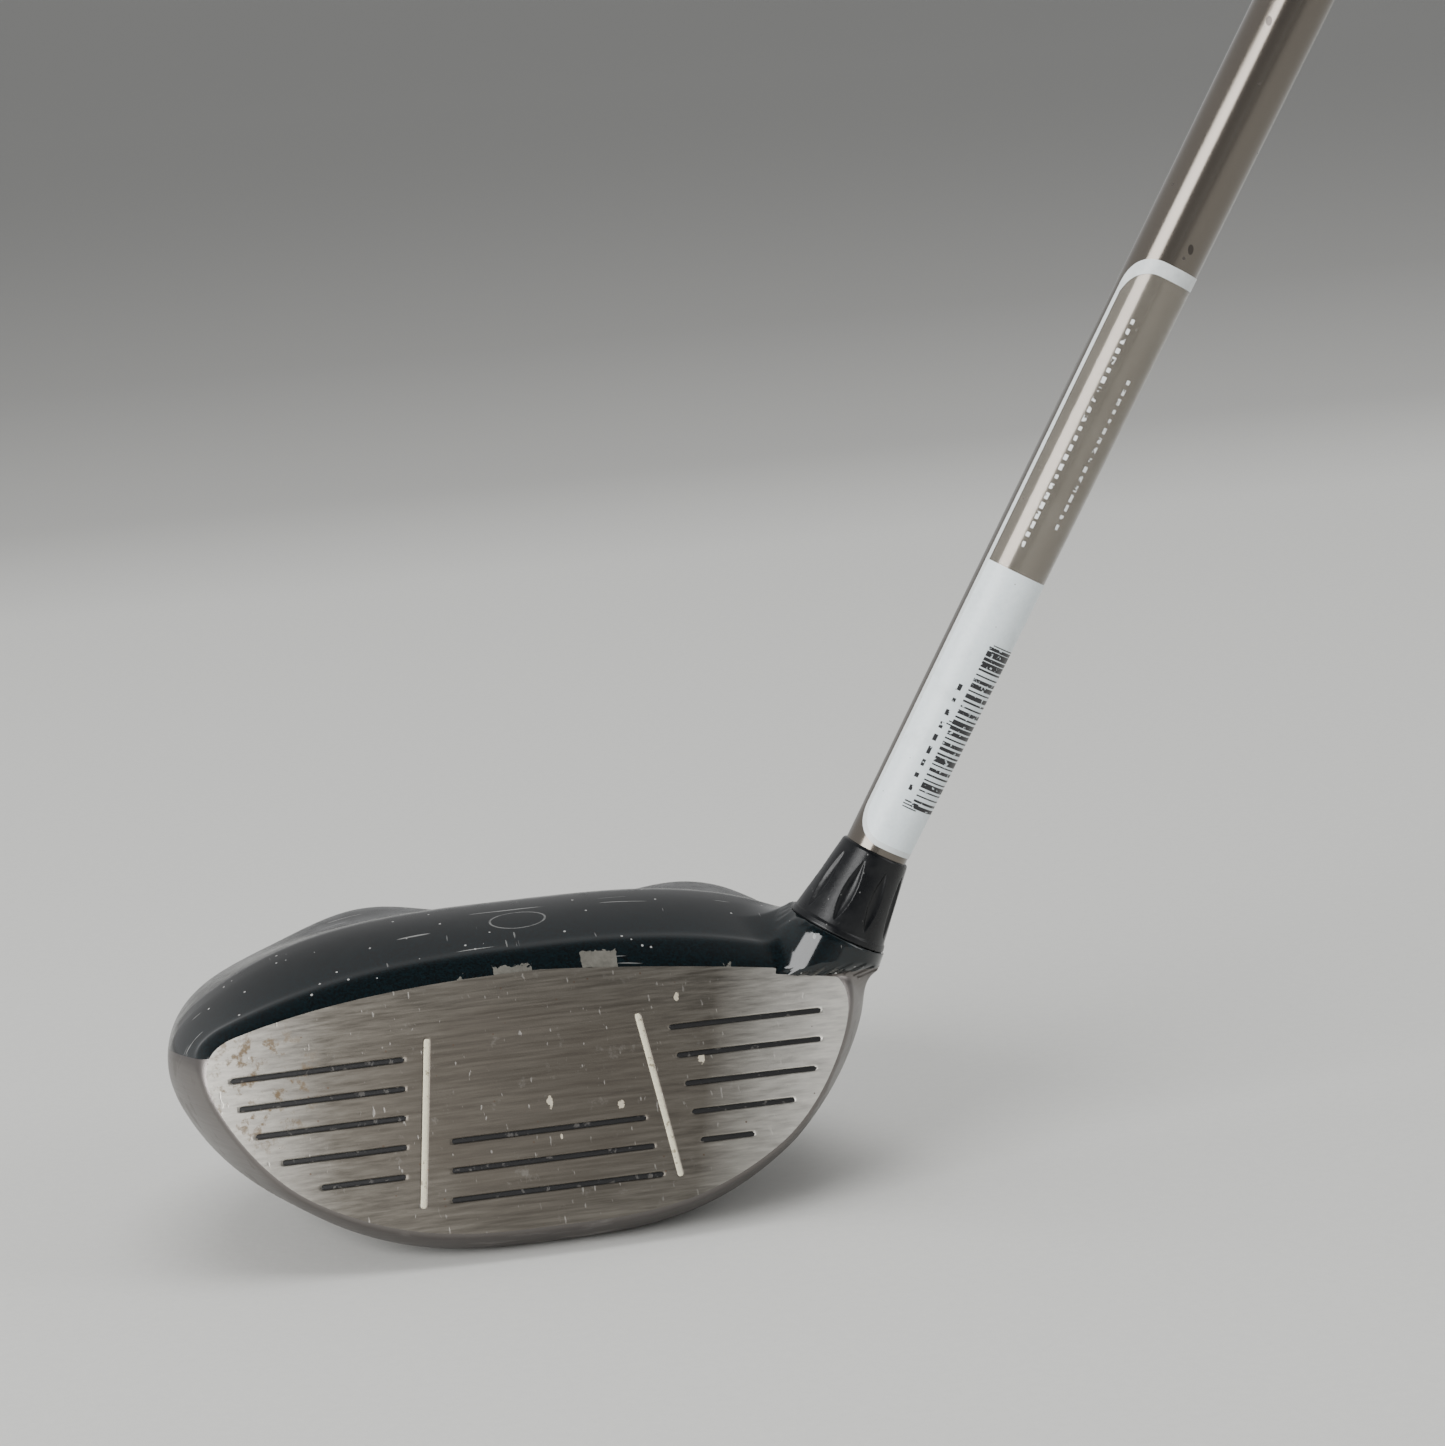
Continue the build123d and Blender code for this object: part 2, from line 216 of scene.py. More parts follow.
def soft_max(a, b, width):
    """The larger of two values, rounded where they meet."""
    near = np.maximum(width - np.abs(a - b), 0.0) / width
    return np.maximum(a, b) + near * near * width * 0.25


def half_length(y):
    return HALF - 4.2 * (np.maximum(WIDE_Y - y, 0.0) / 13.0) ** 1.5


def reach_share(x, y):
    back = np.maximum((y - WIDE_Y) / (TAIL_Y - WIDE_Y), 0.0)
    reach = half_length(y) + np.where(x < HEAD_X, 1.1, 0.0)
    return (np.abs((x - HEAD_X) / reach) ** 2.2 + back**2.2) ** (1 / 2.2)


def sole_height(x, y):
    front = np.maximum((-4.0 - y) / 6.0, 0.0)
    return -0.25 + 1.9 * front**2 + 20.0 * reach_share(x, y) ** 2.95


def crown_height(x, y):
    rim = 30.5 - 0.08 * y
    front = 42.8 - 6.5 * ((14.5 - y) / 17.0) ** 2
    rear = 42.8 - 16.9 * (np.maximum(y - 14.5, 0.0) / 51.5) ** 1.25
    middle = np.where(y < 14.5, front, rear)
    fullness = 2.0 + 1.3 * np.clip((y + 3.0) / 18.0, 0.0, 1.0)
    lobes = 3.8 * np.exp(-(((x + 18.0) / 13.0) ** 2)) + 3.2 * np.exp(-(((x - 30.0) / 12.5) ** 2))
    lobes = lobes * np.exp(-(((y - 46.0) / 9.5) ** 2))
    across = np.abs((x - HEAD_X) / half_length(y))
    return rim + (middle - rim) * (1.0 - across**fullness) + lobes


def top_line(x):
    """Height where the face plate stops under the crown paint, falling towards the heel."""
    return 36.6 - 0.065 * x - 0.0015 * x**2


def skin_without_face(p):
    """Below zero inside the head, before its face is cut (millimetres)."""
    x, y, z = p[..., 0], p[..., 1], p[..., 2]
    side = (reach_share(x, y) - 1.0) * 50.0
    shell = soft_max((z - crown_height(x, y)) / 1.15, side, 7.0)
    return soft_max(shell, (sole_height(x, y) - z) / 1.3, 12.0)


def hosel_neck(p):
    """Below zero inside the short neck that the ferrule stands on."""
    reach = p - shaft_foot
    along = reach @ shaft_line
    radius = np.linalg.norm(reach - along[..., None] * shaft_line, axis=-1)
    cone = np.maximum(radius - 7.25 - 0.115 * (SEAT - along), along - SEAT)
    return np.maximum(cone, top_line(p[..., 0]) - p[..., 2])


def head_skin(p):
    """Below zero inside the whole head, neck included."""
    face = np.linalg.norm(p - face_heart, axis=-1) - FACE_R
    bead = 0.22 * np.exp(-(((face + 1.45) / 0.55) ** 2)) * np.clip((p[..., 2] - 29.0) / 2.0, 0.0, 1.0)
    roll = 0.9 + 1.3 * np.clip((p[..., 2] - 26.0) / 6.0, 0.0, 1.0)
    head = soft_max(skin_without_face(p) - bead, face, roll)
    return -soft_max(-head, -hosel_neck(p), np.clip(0.8 - 0.9 * face, 0.8, 6.0))


def cast_skin(rings, turns):
    """Sheet of points round the head.  Rays start from a spine that runs toe to heel."""
    around = np.linspace(0.0, 2 * np.pi, turns, endpoint=False)
    along = np.pi * (np.arange(1, rings) / rings)
    a, t = np.meshgrid(along, around, indexing="ij")
    ray = np.stack([-np.cos(a), np.sin(a) * np.cos(t), np.sin(a) * np.sin(t)], -1)
    start = np.stack([-30.0 * np.cos(a) + 1.0, 18.0 + 0 * a, 14.0 + 9.0 * np.cos(a) ** 2], -1)
    low = np.zeros(a.shape)
    high = np.full(a.shape, 90.0)
    for _ in range(34):
        half = 0.5 * (low + high)
        inside = head_skin(start + ray * half[..., None]) < 0
        low = np.where(inside, half, low)
        high = np.where(inside, high, half)
    return start + ray * low[..., None]


def sheet_mesh(points, poles=None):
    """Mesh from rows of points that close on themselves, with a pole at each end."""
    mesh = bmesh.new()
    rows = [[mesh.verts.new(Vector(p) * MM) for p in row] for row in points]
    count = len(rows[0])
    for above, below in zip(rows, rows[1:]):
        for i in range(count):
            j = (i + 1) % count
            mesh.faces.new((above[i], above[j], below[j], below[i]))
    for pole, row, order in zip(poles or (), (rows[0], rows[-1]), (-1, 1)):
        tip = mesh.verts.new(Vector(pole) * MM)
        for i in range(count):
            corner = (row[i], row[(i + 1) % count])
            mesh.faces.new((tip, *corner[::order]))
    return mesh


def cut_along(mesh, rule):
    """Split a mesh where rule (an array function of millimetre points) crosses zero."""
    mesh.verts.ensure_lookup_table()
    places = np.array([v.co for v in mesh.verts]) / MM
    for vert, value in zip(mesh.verts, rule(places)):
        vert.tag = bool(value < 0)
    values = dict(zip(mesh.verts, rule(places)))
    fresh = set()
    for edge in list(mesh.edges):
        first, second = edge.verts
        if first.tag != second.tag:
            share = values[first] / (values[first] - values[second])
            _, made = bmesh.utils.edge_split(edge, first, min(0.98, max(0.02, share)))
            fresh.add(made)
    for face in list(mesh.faces):
        ends = [v for v in face.verts if v in fresh]
        if len(ends) == 2:
            bmesh.utils.face_split(face, ends[0], ends[1])
    return fresh


def part_of(mesh, rule):
    """Copy of a mesh with only the faces whose middle has rule below zero."""
    copy = mesh.copy()
    middles = np.array([f.calc_center_median() for f in copy.faces]) / MM
    outside = [f for f, value in zip(list(copy.faces), rule(middles)) if value >= 0]
    bmesh.ops.delete(copy, geom=outside, context="FACES")
    return copy


def place_piece(name, mesh, finish=None, stands_for=()):
    """Finish a piece: object at the origin, smooth, riding on the club."""
    data = mesh
    if isinstance(mesh, bmesh.types.BMesh):
        data = bpy.data.meshes.new(name)
        mesh.to_mesh(data)
        mesh.free()
    data.name = name
    data.shade_smooth()
    piece = bpy.data.objects.new(name, data)
    bpy.context.scene.collection.objects.link(piece)
    if finish:
        data.materials.append(finish)
    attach(piece, "root")
    if stands_for:
        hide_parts(*stands_for)
    return piece


def fold_rim(mesh, way):
    """Turn a piece's open edge inwards, so that it looks as thick as the real plate."""
    rim = [edge for edge in mesh.edges if edge.is_boundary]
    for edge in rim:
        edge.smooth = False
    for part in bmesh.ops.extrude_edge_only(mesh, edges=rim)["geom"]:
        if isinstance(part, bmesh.types.BMVert):
            part.co += Vector(way) * MM


def face_rule(p):
    """Below zero on the part of the skin that the face plate covers."""
    edge = skin_without_face(p) + 0.9
    front = FACE_R - 0.25 - np.linalg.norm(p - face_heart, axis=-1)
    under_paint = p[..., 2] - top_line(p[..., 0])
    return np.maximum(np.maximum(edge, under_paint), np.maximum(front, 0.8 - hosel_neck(p)))


def paint_rule(p):
    """Below zero above the line where the black paint stops."""
    heel_rise = 1.4 * np.clip((p[..., 0] - 33.0) / 8.0, 0.0, 1.0)
    return 30.5 - 1.2 + heel_rise - 0.08 * p[..., 1] - p[..., 2]


def sole_rule(p):
    """Below zero on the oval sole plate."""
    oval = np.hypot(p[..., 0] / 27.0, (p[..., 1] - 17.0) / 22.0) - 1.0
    return np.maximum(oval, (p[..., 2] - 12.0) / 10.0)


def neck_rule(p):
    """Below zero on the neck, down to where its cone runs into the crown."""
    along = (p - shaft_foot) @ shaft_line
    return np.maximum(np.abs(hosel_neck(p)) - 1.1, 31.0 - along)


def insert_rule(p):
    """Below zero on the sole plate itself, a hair smaller than its seat."""
    return sole_rule(p) + 0.007


skin_points = cast_skin(320, 540)
skin = sheet_mesh(skin_points, (skin_points[0].mean(0), skin_points[-1].mean(0)))
bmesh.ops.recalc_face_normals(skin, faces=skin.faces)
for rule in (face_rule, paint_rule, sole_rule, insert_rule, neck_rule):
    cut_along(skin, rule)
shell = part_of(skin, lambda p: -face_rule(p))

# ---------------------------------------------------------------- crown finish
# Gloss black with a fine teal-blue flake near the face, dust lying on the flat top, hair
# scratches, a thin plain ring mark for lining up, and bare chips along the front edge.
crown = Finish("crown_black_gloss")
x, y, z = (crown.node("SeparateXYZ", {}, {"Vector": crown.place}, axis) for axis in range(3))
heart = tuple(face_heart * MM)
behind_face = crown.node("VectorMath", {"operation": "DISTANCE"}, {0: crown.place, 1: heart}, "Value")
behind = FACE_R - behind_face * 1000.0
front_edge = crown.ramp(behind / 20.0, ((0.05, 1.0), (0.55, 0.0)))
flake = crown.node("TexVoronoi", {"feature": "F1"}, {"Vector": crown.place, "Scale": 5200.0}, "Color")
sparkle = crown.node("SeparateColor", {}, {"Color": flake}, 0)
dust = crown.ramp(crown.cloud(420.0, 7.0, roughness=0.7), ((0.40, 0.0), (0.80, 1.0)))
film = crown.ramp(crown.cloud(28.0, 3.0), ((0.35, 0.35), (0.70, 1.0)))
level_top = crown.ramp(behind / 40.0, ((0.06, 0.0), (0.28, 1.0)))
motes = crown.specks(800.0, 0.14, 0.16)
hairs = crown.ramp(crown.cloud(150.0, 2.0, (0.4, 9.0, 1.0), 0.4), ((0.735, 0.0), (0.75, 1.0)))
cross_hairs = crown.ramp(crown.cloud(170.0, 2.0, (7.0, 0.5, 2.0), 0.4, (0.4, 0, 0)), ((0.74, 0.0), (0.755, 1.0)))
ragged = crown.cloud(520.0, 5.0, roughness=0.65) * 2.6 - 1.3
chips = None
for middle, half, tall in ((-1.6, 2.6, 0.55), (10.2, 2.4, 0.85), (-8.8, 0.5, 0.4), (27.5, 0.6, 0.2)):
    wide = 1.0 - abs(x * 1000.0 - middle) / half
    chip = ((wide * half + ragged * 0.5) > 0.0) * ((tall - behind + ragged * 0.5) > 0.0)
    chips = chip if chips is None else chips.most(chip)
ring_across = (x * 1000.0 - 0.5) / 1.9
ring_along = (y * 1000.0 - 7.5) / 1.0
ring = abs((ring_across**2.0 + ring_along**2.0) ** 0.5 - 2.0) < 0.075
worn_ring = ring * crown.ramp(crown.cloud(600.0, 3.0), ((0.30, 0.3), (0.55, 1.0)))
lit = crown.blend(sparkle * front_edge * 0.6, (0.0028, 0.003, 0.0032), (0.004, 0.013, 0.017))
hazy = crown.blend(dust * film * level_top * 0.05, lit, (0.25, 0.25, 0.24))
marked = crown.blend((motes * 0.5).most((hairs * 0.30).most(cross_hairs * 0.2)), hazy, (0.62, 0.62, 0.60))
ringed = crown.blend(worn_ring * 0.30, marked, (0.42, 0.42, 0.41))
bare = crown.blend(crown.cloud(900.0, 5.0, roughness=0.7), (0.06, 0.058, 0.05), (0.24, 0.23, 0.20))
crown_black = crown.shade(
    Base_Color=crown.blend(chips, ringed, bare),
    Metallic=chips * 0.4,
    Roughness=(0.20 + dust * film * level_top * 0.28 + motes * 0.3 - front_edge * 0.09).most(chips * 0.5),
    IOR=1.34,
    Coat_Weight=(1.0 - chips) * (0.50 - level_top * 0.45),
    Coat_Roughness=0.07,
    Normal=crown.bump(crown.cloud(900.0, 3.0) * 0.25 + motes * 0.8 - chips * 4.0, 0.00003, 0.35),
)
crown_part = part_of(shell, paint_rule)
crown_piece = place_piece(
    "crown_shell", part_of(crown_part, lambda p: -neck_rule(p)), crown_black, ["crown_plate"]
)

# ================================================================ neck
# The short cast neck that takes the shaft.  It is welded into the body and sprayed with
# the crown, so it is black too; the body blends into it in a soft fillet.
neck_piece = place_piece("hosel_neck", part_of(crown_part, neck_rule), crown_black, ["hosel"])
crown_part.free()

# ---------------------------------------------------------------- steel finish
# Satin polish that runs round the skirt, slightly warm, with handling scratches and a scuffed belly where the sole
# brushes the ground;
# its colour is also painted darker towards the bottom, as painted shade on the underside.
steel = Finish("skirt_satin_steel")
x, y, z = (steel.node("SeparateXYZ", {}, {"Vector": steel.place}, axis) for axis in range(3))
low_down = steel.ramp(z * 1000.0 / 24.0, ((0.02, 1.0), (0.40, 0.0)))
grain = steel.cloud(700.0, 5.0, (0.25, 0.25, 5.0))
scuff = steel.ramp(steel.cloud(260.0, 5.0, (0.35, 1.6, 1.0)), ((0.56, 0.0), (0.64, 1.0)))
tarnish = steel.cloud(45.0, 4.0)
polish = steel.blend(tarnish, (0.215, 0.198, 0.188), (0.160, 0.147, 0.140))
# Painted shade: the colour darkens towards the ground, where the underside gets little light; the scuffs laid over
# it are real wear.
dark = steel.blend(low_down * 0.5, polish, (0.085, 0.078, 0.074))
scuffed_and_shaded = steel.blend(scuff * 0.35 * low_down, dark, (0.50, 0.48, 0.46))
satin_steel = steel.shade(
    Base_Color=scuffed_and_shaded,
    Metallic=1.0,
    Roughness=0.27 + grain * 0.16 + low_down * 0.12 + scuff * 0.1,
    Normal=steel.bump(grain + scuff * 0.8, 0.00003, 0.45),
)
frame_part = part_of(shell, lambda p: -paint_rule(p))
body_piece = place_piece(
    "head_body_shell", part_of(frame_part, lambda p: -sole_rule(p)), satin_steel, ["head_body"]
)
sole_insert = part_of(frame_part, insert_rule)
fold_rim(sole_insert, np.array([0.0, 0.0, 1.2]))
sole_piece = place_piece("sole_insert", sole_insert, satin_steel, ["sole_plate"])
for spare in (skin, shell, frame_part):
    spare.free()

# ================================================================ face plate
# Thin rolled steel plate, bulged both ways, with milled grooves in three groups and two
# leaning sight lines.  Its brushing runs from toe to heel, and it has seen much play.
GROOVE_TOP, GROOVE_PITCH, GROOVE_DEEP = 10.35, 3.9, 0.26
toe_grooves = ((-40.9, -17.6), (-40.2, -17.9), (-38.4, -18.3), (-35.3, -18.6), (-30.6, -19.2))
middle_grooves = ((-12.7, 13.8), (-13.1, 14.5), (-13.6, 15.2))
heel_grooves = ((18.4, 39.8), (19.0, 39.3), (19.6, 38.1), (20.1, 34.5), (20.8, 28.3))
grooves = []
for first_row, group in ((0, toe_grooves), (3, middle_grooves), (0, heel_grooves)):
    for row, (start, end) in enumerate(group):
        grooves.append((start, end, GROOVE_TOP - GROOVE_PITCH * (first_row + row)))
lean = math.tan(math.radians(8.0))
sight_lines = [(side * (15.9 + lean * 11.2), -9.7, side * (15.9 - lean * 11.2), 12.7) for side in (-1, 1)]


def on_face(across, up, lift=0.0):
    """Point on the bulged face; lift raises it off the steel (millimetres)."""
    deep = np.sqrt(FACE_R**2 - across**2 - up**2) - FACE_R + lift
    side = np.multiply.outer(across, np.array([1.0, 0.0, 0.0]))
    return face_middle + side + np.multiply.outer(up, face_up) + np.multiply.outer(deep, face_normal)


def slot_depth(across, up):
    """How deep the milled slots are at a point: flat floors and short sloped walls."""
    deep = np.zeros(np.broadcast(across, up).shape)
    bars = [(start, height, end, height, 0.37, GROOVE_DEEP) for start, end, height in grooves]
    bars += [(x0, y0, x1, y1, 0.40, 0.10) for x0, y0, x1, y1 in sight_lines]
    for x0, y0, x1, y1, half, floor_depth in bars:
        run = np.array([x1 - x0, y1 - y0])
        share = ((across - x0) * run[0] + (up - y0) * run[1]) / (run @ run)
        inset = half / np.linalg.norm(run)
        share = np.clip(share, inset, 1.0 - inset)
        gap = half - np.hypot(across - x0 - share * run[0], up - y0 - share * run[1])
        deep = np.maximum(deep, floor_depth * np.clip(gap / 0.10 + 0.5, 0.0, 1.0))
    return deep


rows = list(np.arange(-15.5, 21.6, 0.3))
for row in range(6):
    middle = GROOVE_TOP - GROOVE_PITCH * row
    rows = [r for r in rows if abs(r - middle) > 0.62]
    rows += [middle + step for step in (-0.55, -0.46, -0.38, -0.3, 0.0, 0.3, 0.38, 0.46, 0.55)]
columns = [c for c in np.arange(-47.0, 48.1, 0.27) if abs(abs(c) - 15.9) > 0.75]
columns += [side * 15.9 + step for side in (-1, 1) for step in (-0.6, -0.5, -0.42, -0.3, 0.0, 0.3, 0.42, 0.5, 0.6)]
column_grid, up_grid = np.meshgrid(np.array(sorted(columns)), np.array(sorted(rows)))
fan = 1.0 - (up_grid - 1.5) * lean / 15.9 * np.clip((40.0 - np.abs(column_grid)) / 20.0, 0.0, 1.0)
across_grid = column_grid * fan
face_points = on_face(across_grid, up_grid) - slot_depth(across_grid, up_grid)[..., None] * face_normal
plate = bmesh.new()
grid = [[plate.verts.new(Vector(p) * MM) for p in row] for row in face_points]
for below, above in zip(grid, grid[1:]):
    for i in range(len(below) - 1):
        plate.faces.new((below[i], below[i + 1], above[i + 1], above[i]))


def plate_rule(p):
    """Below zero inside the plate's own outline."""
    flat = face_heart + FACE_R * (p - face_heart) / np.linalg.norm(p - face_heart, axis=-1)[..., None]
    edge = skin_without_face(flat) + 0.35 + 0.2 * np.clip((flat[..., 2] - 26.0) / 6.0, 0.0, 1.0)
    under_paint = flat[..., 2] - top_line(flat[..., 0]) - 0.04
    return np.maximum(np.maximum(edge, under_paint), 0.78 - hosel_neck(flat))


cut_along(plate, plate_rule)
whole_plate = part_of(plate, plate_rule)
plate.free()
fold_rim(whole_plate, -0.5 * face_normal)

face = Finish("face_brushed_steel")
x, y, z = (face.node("SeparateXYZ", {}, {"Vector": face.place}, axis) for axis in range(3))
across = x * 1000.0
up = z * 1000.0 - 17.5
brushing = face.cloud(2000.0, 5.0, (0.035, 1.0, 1.0), 0.65)
coarse = face.cloud(300.0, 4.0, (0.05, 1.0, 1.0), 0.6, (0.2, 0.1, 0.0))
patchy = face.cloud(60.0, 5.0)
fog = face.cloud(210.0, 5.0, (0.6, 1.0, 1.0))
spread = ((across + 2.0) / 27.0) ** 2.0 + ((up - 3.0) / 17.0) ** 2.0
worn_middle = face.ramp(spread * 0.5 + patchy * 0.5 - 0.25, ((0.15, 1.0), (0.85, 0.0)))
# Painted highlight: the toe and heel ends are painted near-white, a painted reflection of the bright room in the
# bulged face.
toe_highlight = face.ramp(across / 100.0 + 0.5, ((0.06, 1.0), (0.22, 0.0)))
heel_highlight = face.ramp(across / 100.0 + 0.5 - up / 400.0, ((0.72, 0.0), (0.90, 1.0)))
rust = face.ramp(face.cloud(520.0, 6.0, roughness=0.7), ((0.52, 0.0), (0.62, 1.0)))
rust_zone = face.ramp(((across + 37.0) / 9.0) ** 2.0 + ((up - 8.0) / 10.0) ** 2.0, ((0.25, 1.0), (1.0, 0.0)))
freckles = face.specks(1100.0, 0.16, 0.05, (0.1, 0.2, 0.3))
scuffs = face.ramp(face.cloud(420.0, 5.0, (1.0, 1.0, 0.8), 0.7, (0.5, 0, 0)), ((0.62, 0.0), (0.72, 1.0)))
slant = face.node("Mapping", {}, {"Vector": face.place, "Rotation": (0.0, 0.6, 0.0), "Scale": (1.0, 1.0, 0.09)})
fine_cuts = face.node("TexNoise", {}, {"Vector": slant, "Scale": 1500.0, "Detail": 2.0})
cuts = face.ramp(fine_cuts, ((0.69, 0.0), (0.74, 1.0)))
dabs = face.specks(330.0, 0.10, 0.10, (0.3, 0.1, 0.2), (1.6, 1.0, 0.7))
shine = face.blend((brushing - 0.35) * 1.6, (0.145, 0.133, 0.114), (0.40, 0.375, 0.325))
toned = face.blend(worn_middle * (0.50 + 0.4 * fog), shine, (0.135, 0.117, 0.097))
# Mixes the painted highlight into the toe and heel ends.
ends = face.blend((toe_highlight * 0.42).most(heel_highlight * 0.95) * (0.6 + brushing * 0.8), toned, (0.98, 0.95, 0.88))
rusty = face.blend(rust * rust_zone * 0.85, ends, (0.13, 0.08, 0.03))
dotted = face.blend(freckles * 0.7, rusty, (0.16, 0.11, 0.08))
scored = face.blend((cuts * 0.30 + scuffs * 0.10) * (0.3 + 0.7 * worn_middle), dotted, (0.86, 0.84, 0.80))
crumble = face.cloud(1500.0, 5.0, roughness=0.7) * 5.0 - 2.2
for mark_x, mark_up, long, tall in ((1.0, 2.2, 0.4, 1.0), (10.6, 0.7, 0.5, 0.5), (20.0, 13.4, 0.35, 0.6), (22.3, 5.2, 0.5, 0.8)):
    near = ((across - mark_x) / long) ** 2.0 + ((up - mark_up) / tall) ** 2.0
    dabs = dabs.most((near + crumble) < 1.0)
spotted = face.blend(dabs * 0.8, scored, (0.62, 0.56, 0.43))
face_steel = face.shade(
    Base_Color=spotted,
    Metallic=1.0 - (rust * rust_zone * 0.6).most(dabs * 0.7),
    Roughness=0.34 + brushing * 0.20 + worn_middle * 0.08 + rust * rust_zone * 0.25,
    Normal=face.bump(brushing * 0.6 + coarse * 0.6 - cuts * 0.5, 0.00004, 0.6),
)
face_piece = place_piece("face_insert", whole_plate, face_steel, ["face_plate"])

# ================================================================ paint in the grooves
# Enamel wiped into the slots: black in the thirteen score lines and cream in the two
# sight lines.  Each strip follows the bulge and has round ends.


class Maker(Bench):
    """A geometry tree with named inputs; what it makes is real mesh with one material."""

    def __init__(self, name, **inputs):
        self.tree = bpy.data.node_groups.new(name, "GeometryNodeTree")
        for label, kind in inputs.items():
            words = label.replace("_", " ")
            self.tree.interface.new_socket(words, in_out="INPUT", socket_type="NodeSocket" + kind)
        self.tree.interface.new_socket("Result", in_out="OUTPUT", socket_type="NodeSocketGeometry")
        self.inputs = self.tree.nodes.new("NodeGroupInput")

    def given(self, label):
        return Wire(self, self.inputs.outputs[label])

    def end(self, shape):
        real = self.node("GeometryNodeRealizeInstances", {}, {0: shape})
        painted = self.node("GeometryNodeSetMaterial", {}, {"Geometry": real, "Material": self.given("Material")})
        self.node("NodeGroupOutput", {}, {0: painted}, None)

    def make(self, name, start=None, **values):
        """Run the tree on a start mesh and return what it made as a plain mesh."""
        holder = bpy.data.objects.new(name + "_start", start or bpy.data.meshes.new(name + "_start"))
        bpy.context.scene.collection.objects.link(holder)
        run = holder.modifiers.new("make", "NODES")
        run.node_group = self.tree
        for item in self.tree.interface.items_tree:
            key = item.name.replace(" ", "_")
            if item.in_out == "INPUT" and key in values:
                run[item.identifier] = values[key]
        ready = holder.evaluated_get(bpy.context.evaluated_depsgraph_get())
        made = bpy.data.meshes.new_from_object(ready)
        bpy.data.objects.remove(holder)
        return made


strips = Maker(
    "enamel_strips",
    Lines="Geometry",
    Half_width="Float",
    Half_height="Float",
    Sink="Float",
    Step="Float",
    Material="Material",
)
half_width = strips.given("Half width")
path = strips.node("GeometryNodeMeshToCurve", {}, {"Mesh": strips.given("Lines")})
path = strips.node(
    "GeometryNodeResampleCurve", {"mode": "LENGTH"}, {"Curve": path, "Length": strips.given("Step")}
)
gone = strips.node("GeometryNodeSplineParameter", {}, {}, "Length")
whole = strips.node("GeometryNodeSplineLength", {}, {}, "Length")
to_end = gone.least(whole - gone)
taper = (1.0 - (to_end / half_width).least(1.0)).most(0.0)
rounded = (1.0 - taper * taper).most(0.02) ** 0.5
path = strips.node("GeometryNodeSetCurveRadius", {}, {"Curve": path, "Radius": rounded})
ring = strips.node("GeometryNodeCurvePrimitiveCircle", {}, {"Resolution": 12, "Radius": half_width})
settings = {"Curve": path, "Profile Curve": ring, "Fill Caps": True}
if "Scale" in strips.tree.bl_rna.properties:
    settings["Scale"] = rounded
rope = strips.node("GeometryNodeCurveToMesh", {}, settings)
flat = strips.node("GeometryNodeInputPosition", {}, {})
x, y, z = (strips.node("SeparateXYZ", {}, {"Vector": flat}, axis) for axis in range(3))
bulge = (FACE_R**2 - x * x - y * y) ** 0.5 - FACE_R
deep = bulge + z * strips.given("Half height") / half_width - strips.given("Sink")
spot = [
    (float(face_middle[i]) + x * float(i == 0) + y * float(face_up[i]) + deep * float(face_normal[i])) * MM
    for i in range(3)
]
laid = strips.node("CombineXYZ", {}, dict(enumerate(spot)))
strips.end(strips.node("GeometryNodeSetPosition", {}, {"Geometry": rope, "Position": laid}))


def line_mesh(name, pairs):
    lines = bpy.data.meshes.new(name)
    ends = [(x, y, 0.0) for x0, y0, x1, y1 in pairs for x, y in ((x0, y0), (x1, y1))]
    lines.from_pydata(ends, [(2 * i, 2 * i + 1) for i in range(len(pairs))], [])
    return lines


def enamel(name, paint, worn_to):
    """Paint that play has picked out in places, down to bright steel or grime."""
    coat = Finish(name)
    grit = coat.cloud(2600.0, 5.0, roughness=0.7)
    picked = coat.ramp(coat.cloud(900.0, 4.0), ((0.60, 0.0), (0.66, 1.0)))
    tone = coat.blend(grit, tuple(c * 0.7 for c in paint), tuple(min(1.0, c * 1.2) for c in paint))
    return coat.shade(
        Base_Color=coat.blend(picked * 0.8, tone, worn_to),
        Roughness=0.45 + grit * 0.2,
        Normal=coat.bump(grit - picked, 0.00006, 0.6),
    )


black_enamel = enamel("groove_enamel_black", (0.0025, 0.0025, 0.003), (0.07, 0.065, 0.06))
cream_enamel = enamel("sight_enamel_cream", (0.66, 0.62, 0.46), (0.20, 0.16, 0.10))
groove_paint = strips.make(
    "groove_paint",
    line_mesh("score_lines", [(start, up, end, up) for start, end, up in grooves]),
    Half_width=0.375,
    Half_height=0.13,
    Sink=0.24,
    Step=0.11,
    Material=black_enamel,
)
place_piece("groove_paint", groove_paint, None)
sight_paint = strips.make(
    "sight_paint",
    line_mesh("sight_marks", sight_lines),
    Half_width=0.405,
    Half_height=0.10,
    Sink=0.09,
    Step=0.11,
    Material=cream_enamel,
)
place_piece("sight_paint", sight_paint, None)

# ================================================================ ferrule
# Black plastic collar pushed down on the shaft tip until it meets the neck.  Leaf-shaped
# flutes are moulded into its cone, between two plain lips.
FERRULE_TOP, BORE = 53.8, 4.5
heel_side = np.array([math.sin(LIE), 0.0, -math.cos(LIE)])
back_side = np.array([0.0, 1.0, 0.0])


def shaft_frame(bench, along, radius, turn):
    """Place in space of a point given along, out from and round the shaft (turn in radians)."""
    out = radius * bench.node("Math", {"operation": "COSINE"}, {0: turn})
    back = radius * bench.node("Math", {"operation": "SINE"}, {0: turn})
    spot = [
        (float(shaft_foot[i]) + along * float(shaft_line[i]) + out * float(heel_side[i]) + back * float(i == 1)) * MM
        for i in range(3)
    ]
    return bench.node("CombineXYZ", {}, dict(enumerate(spot)))


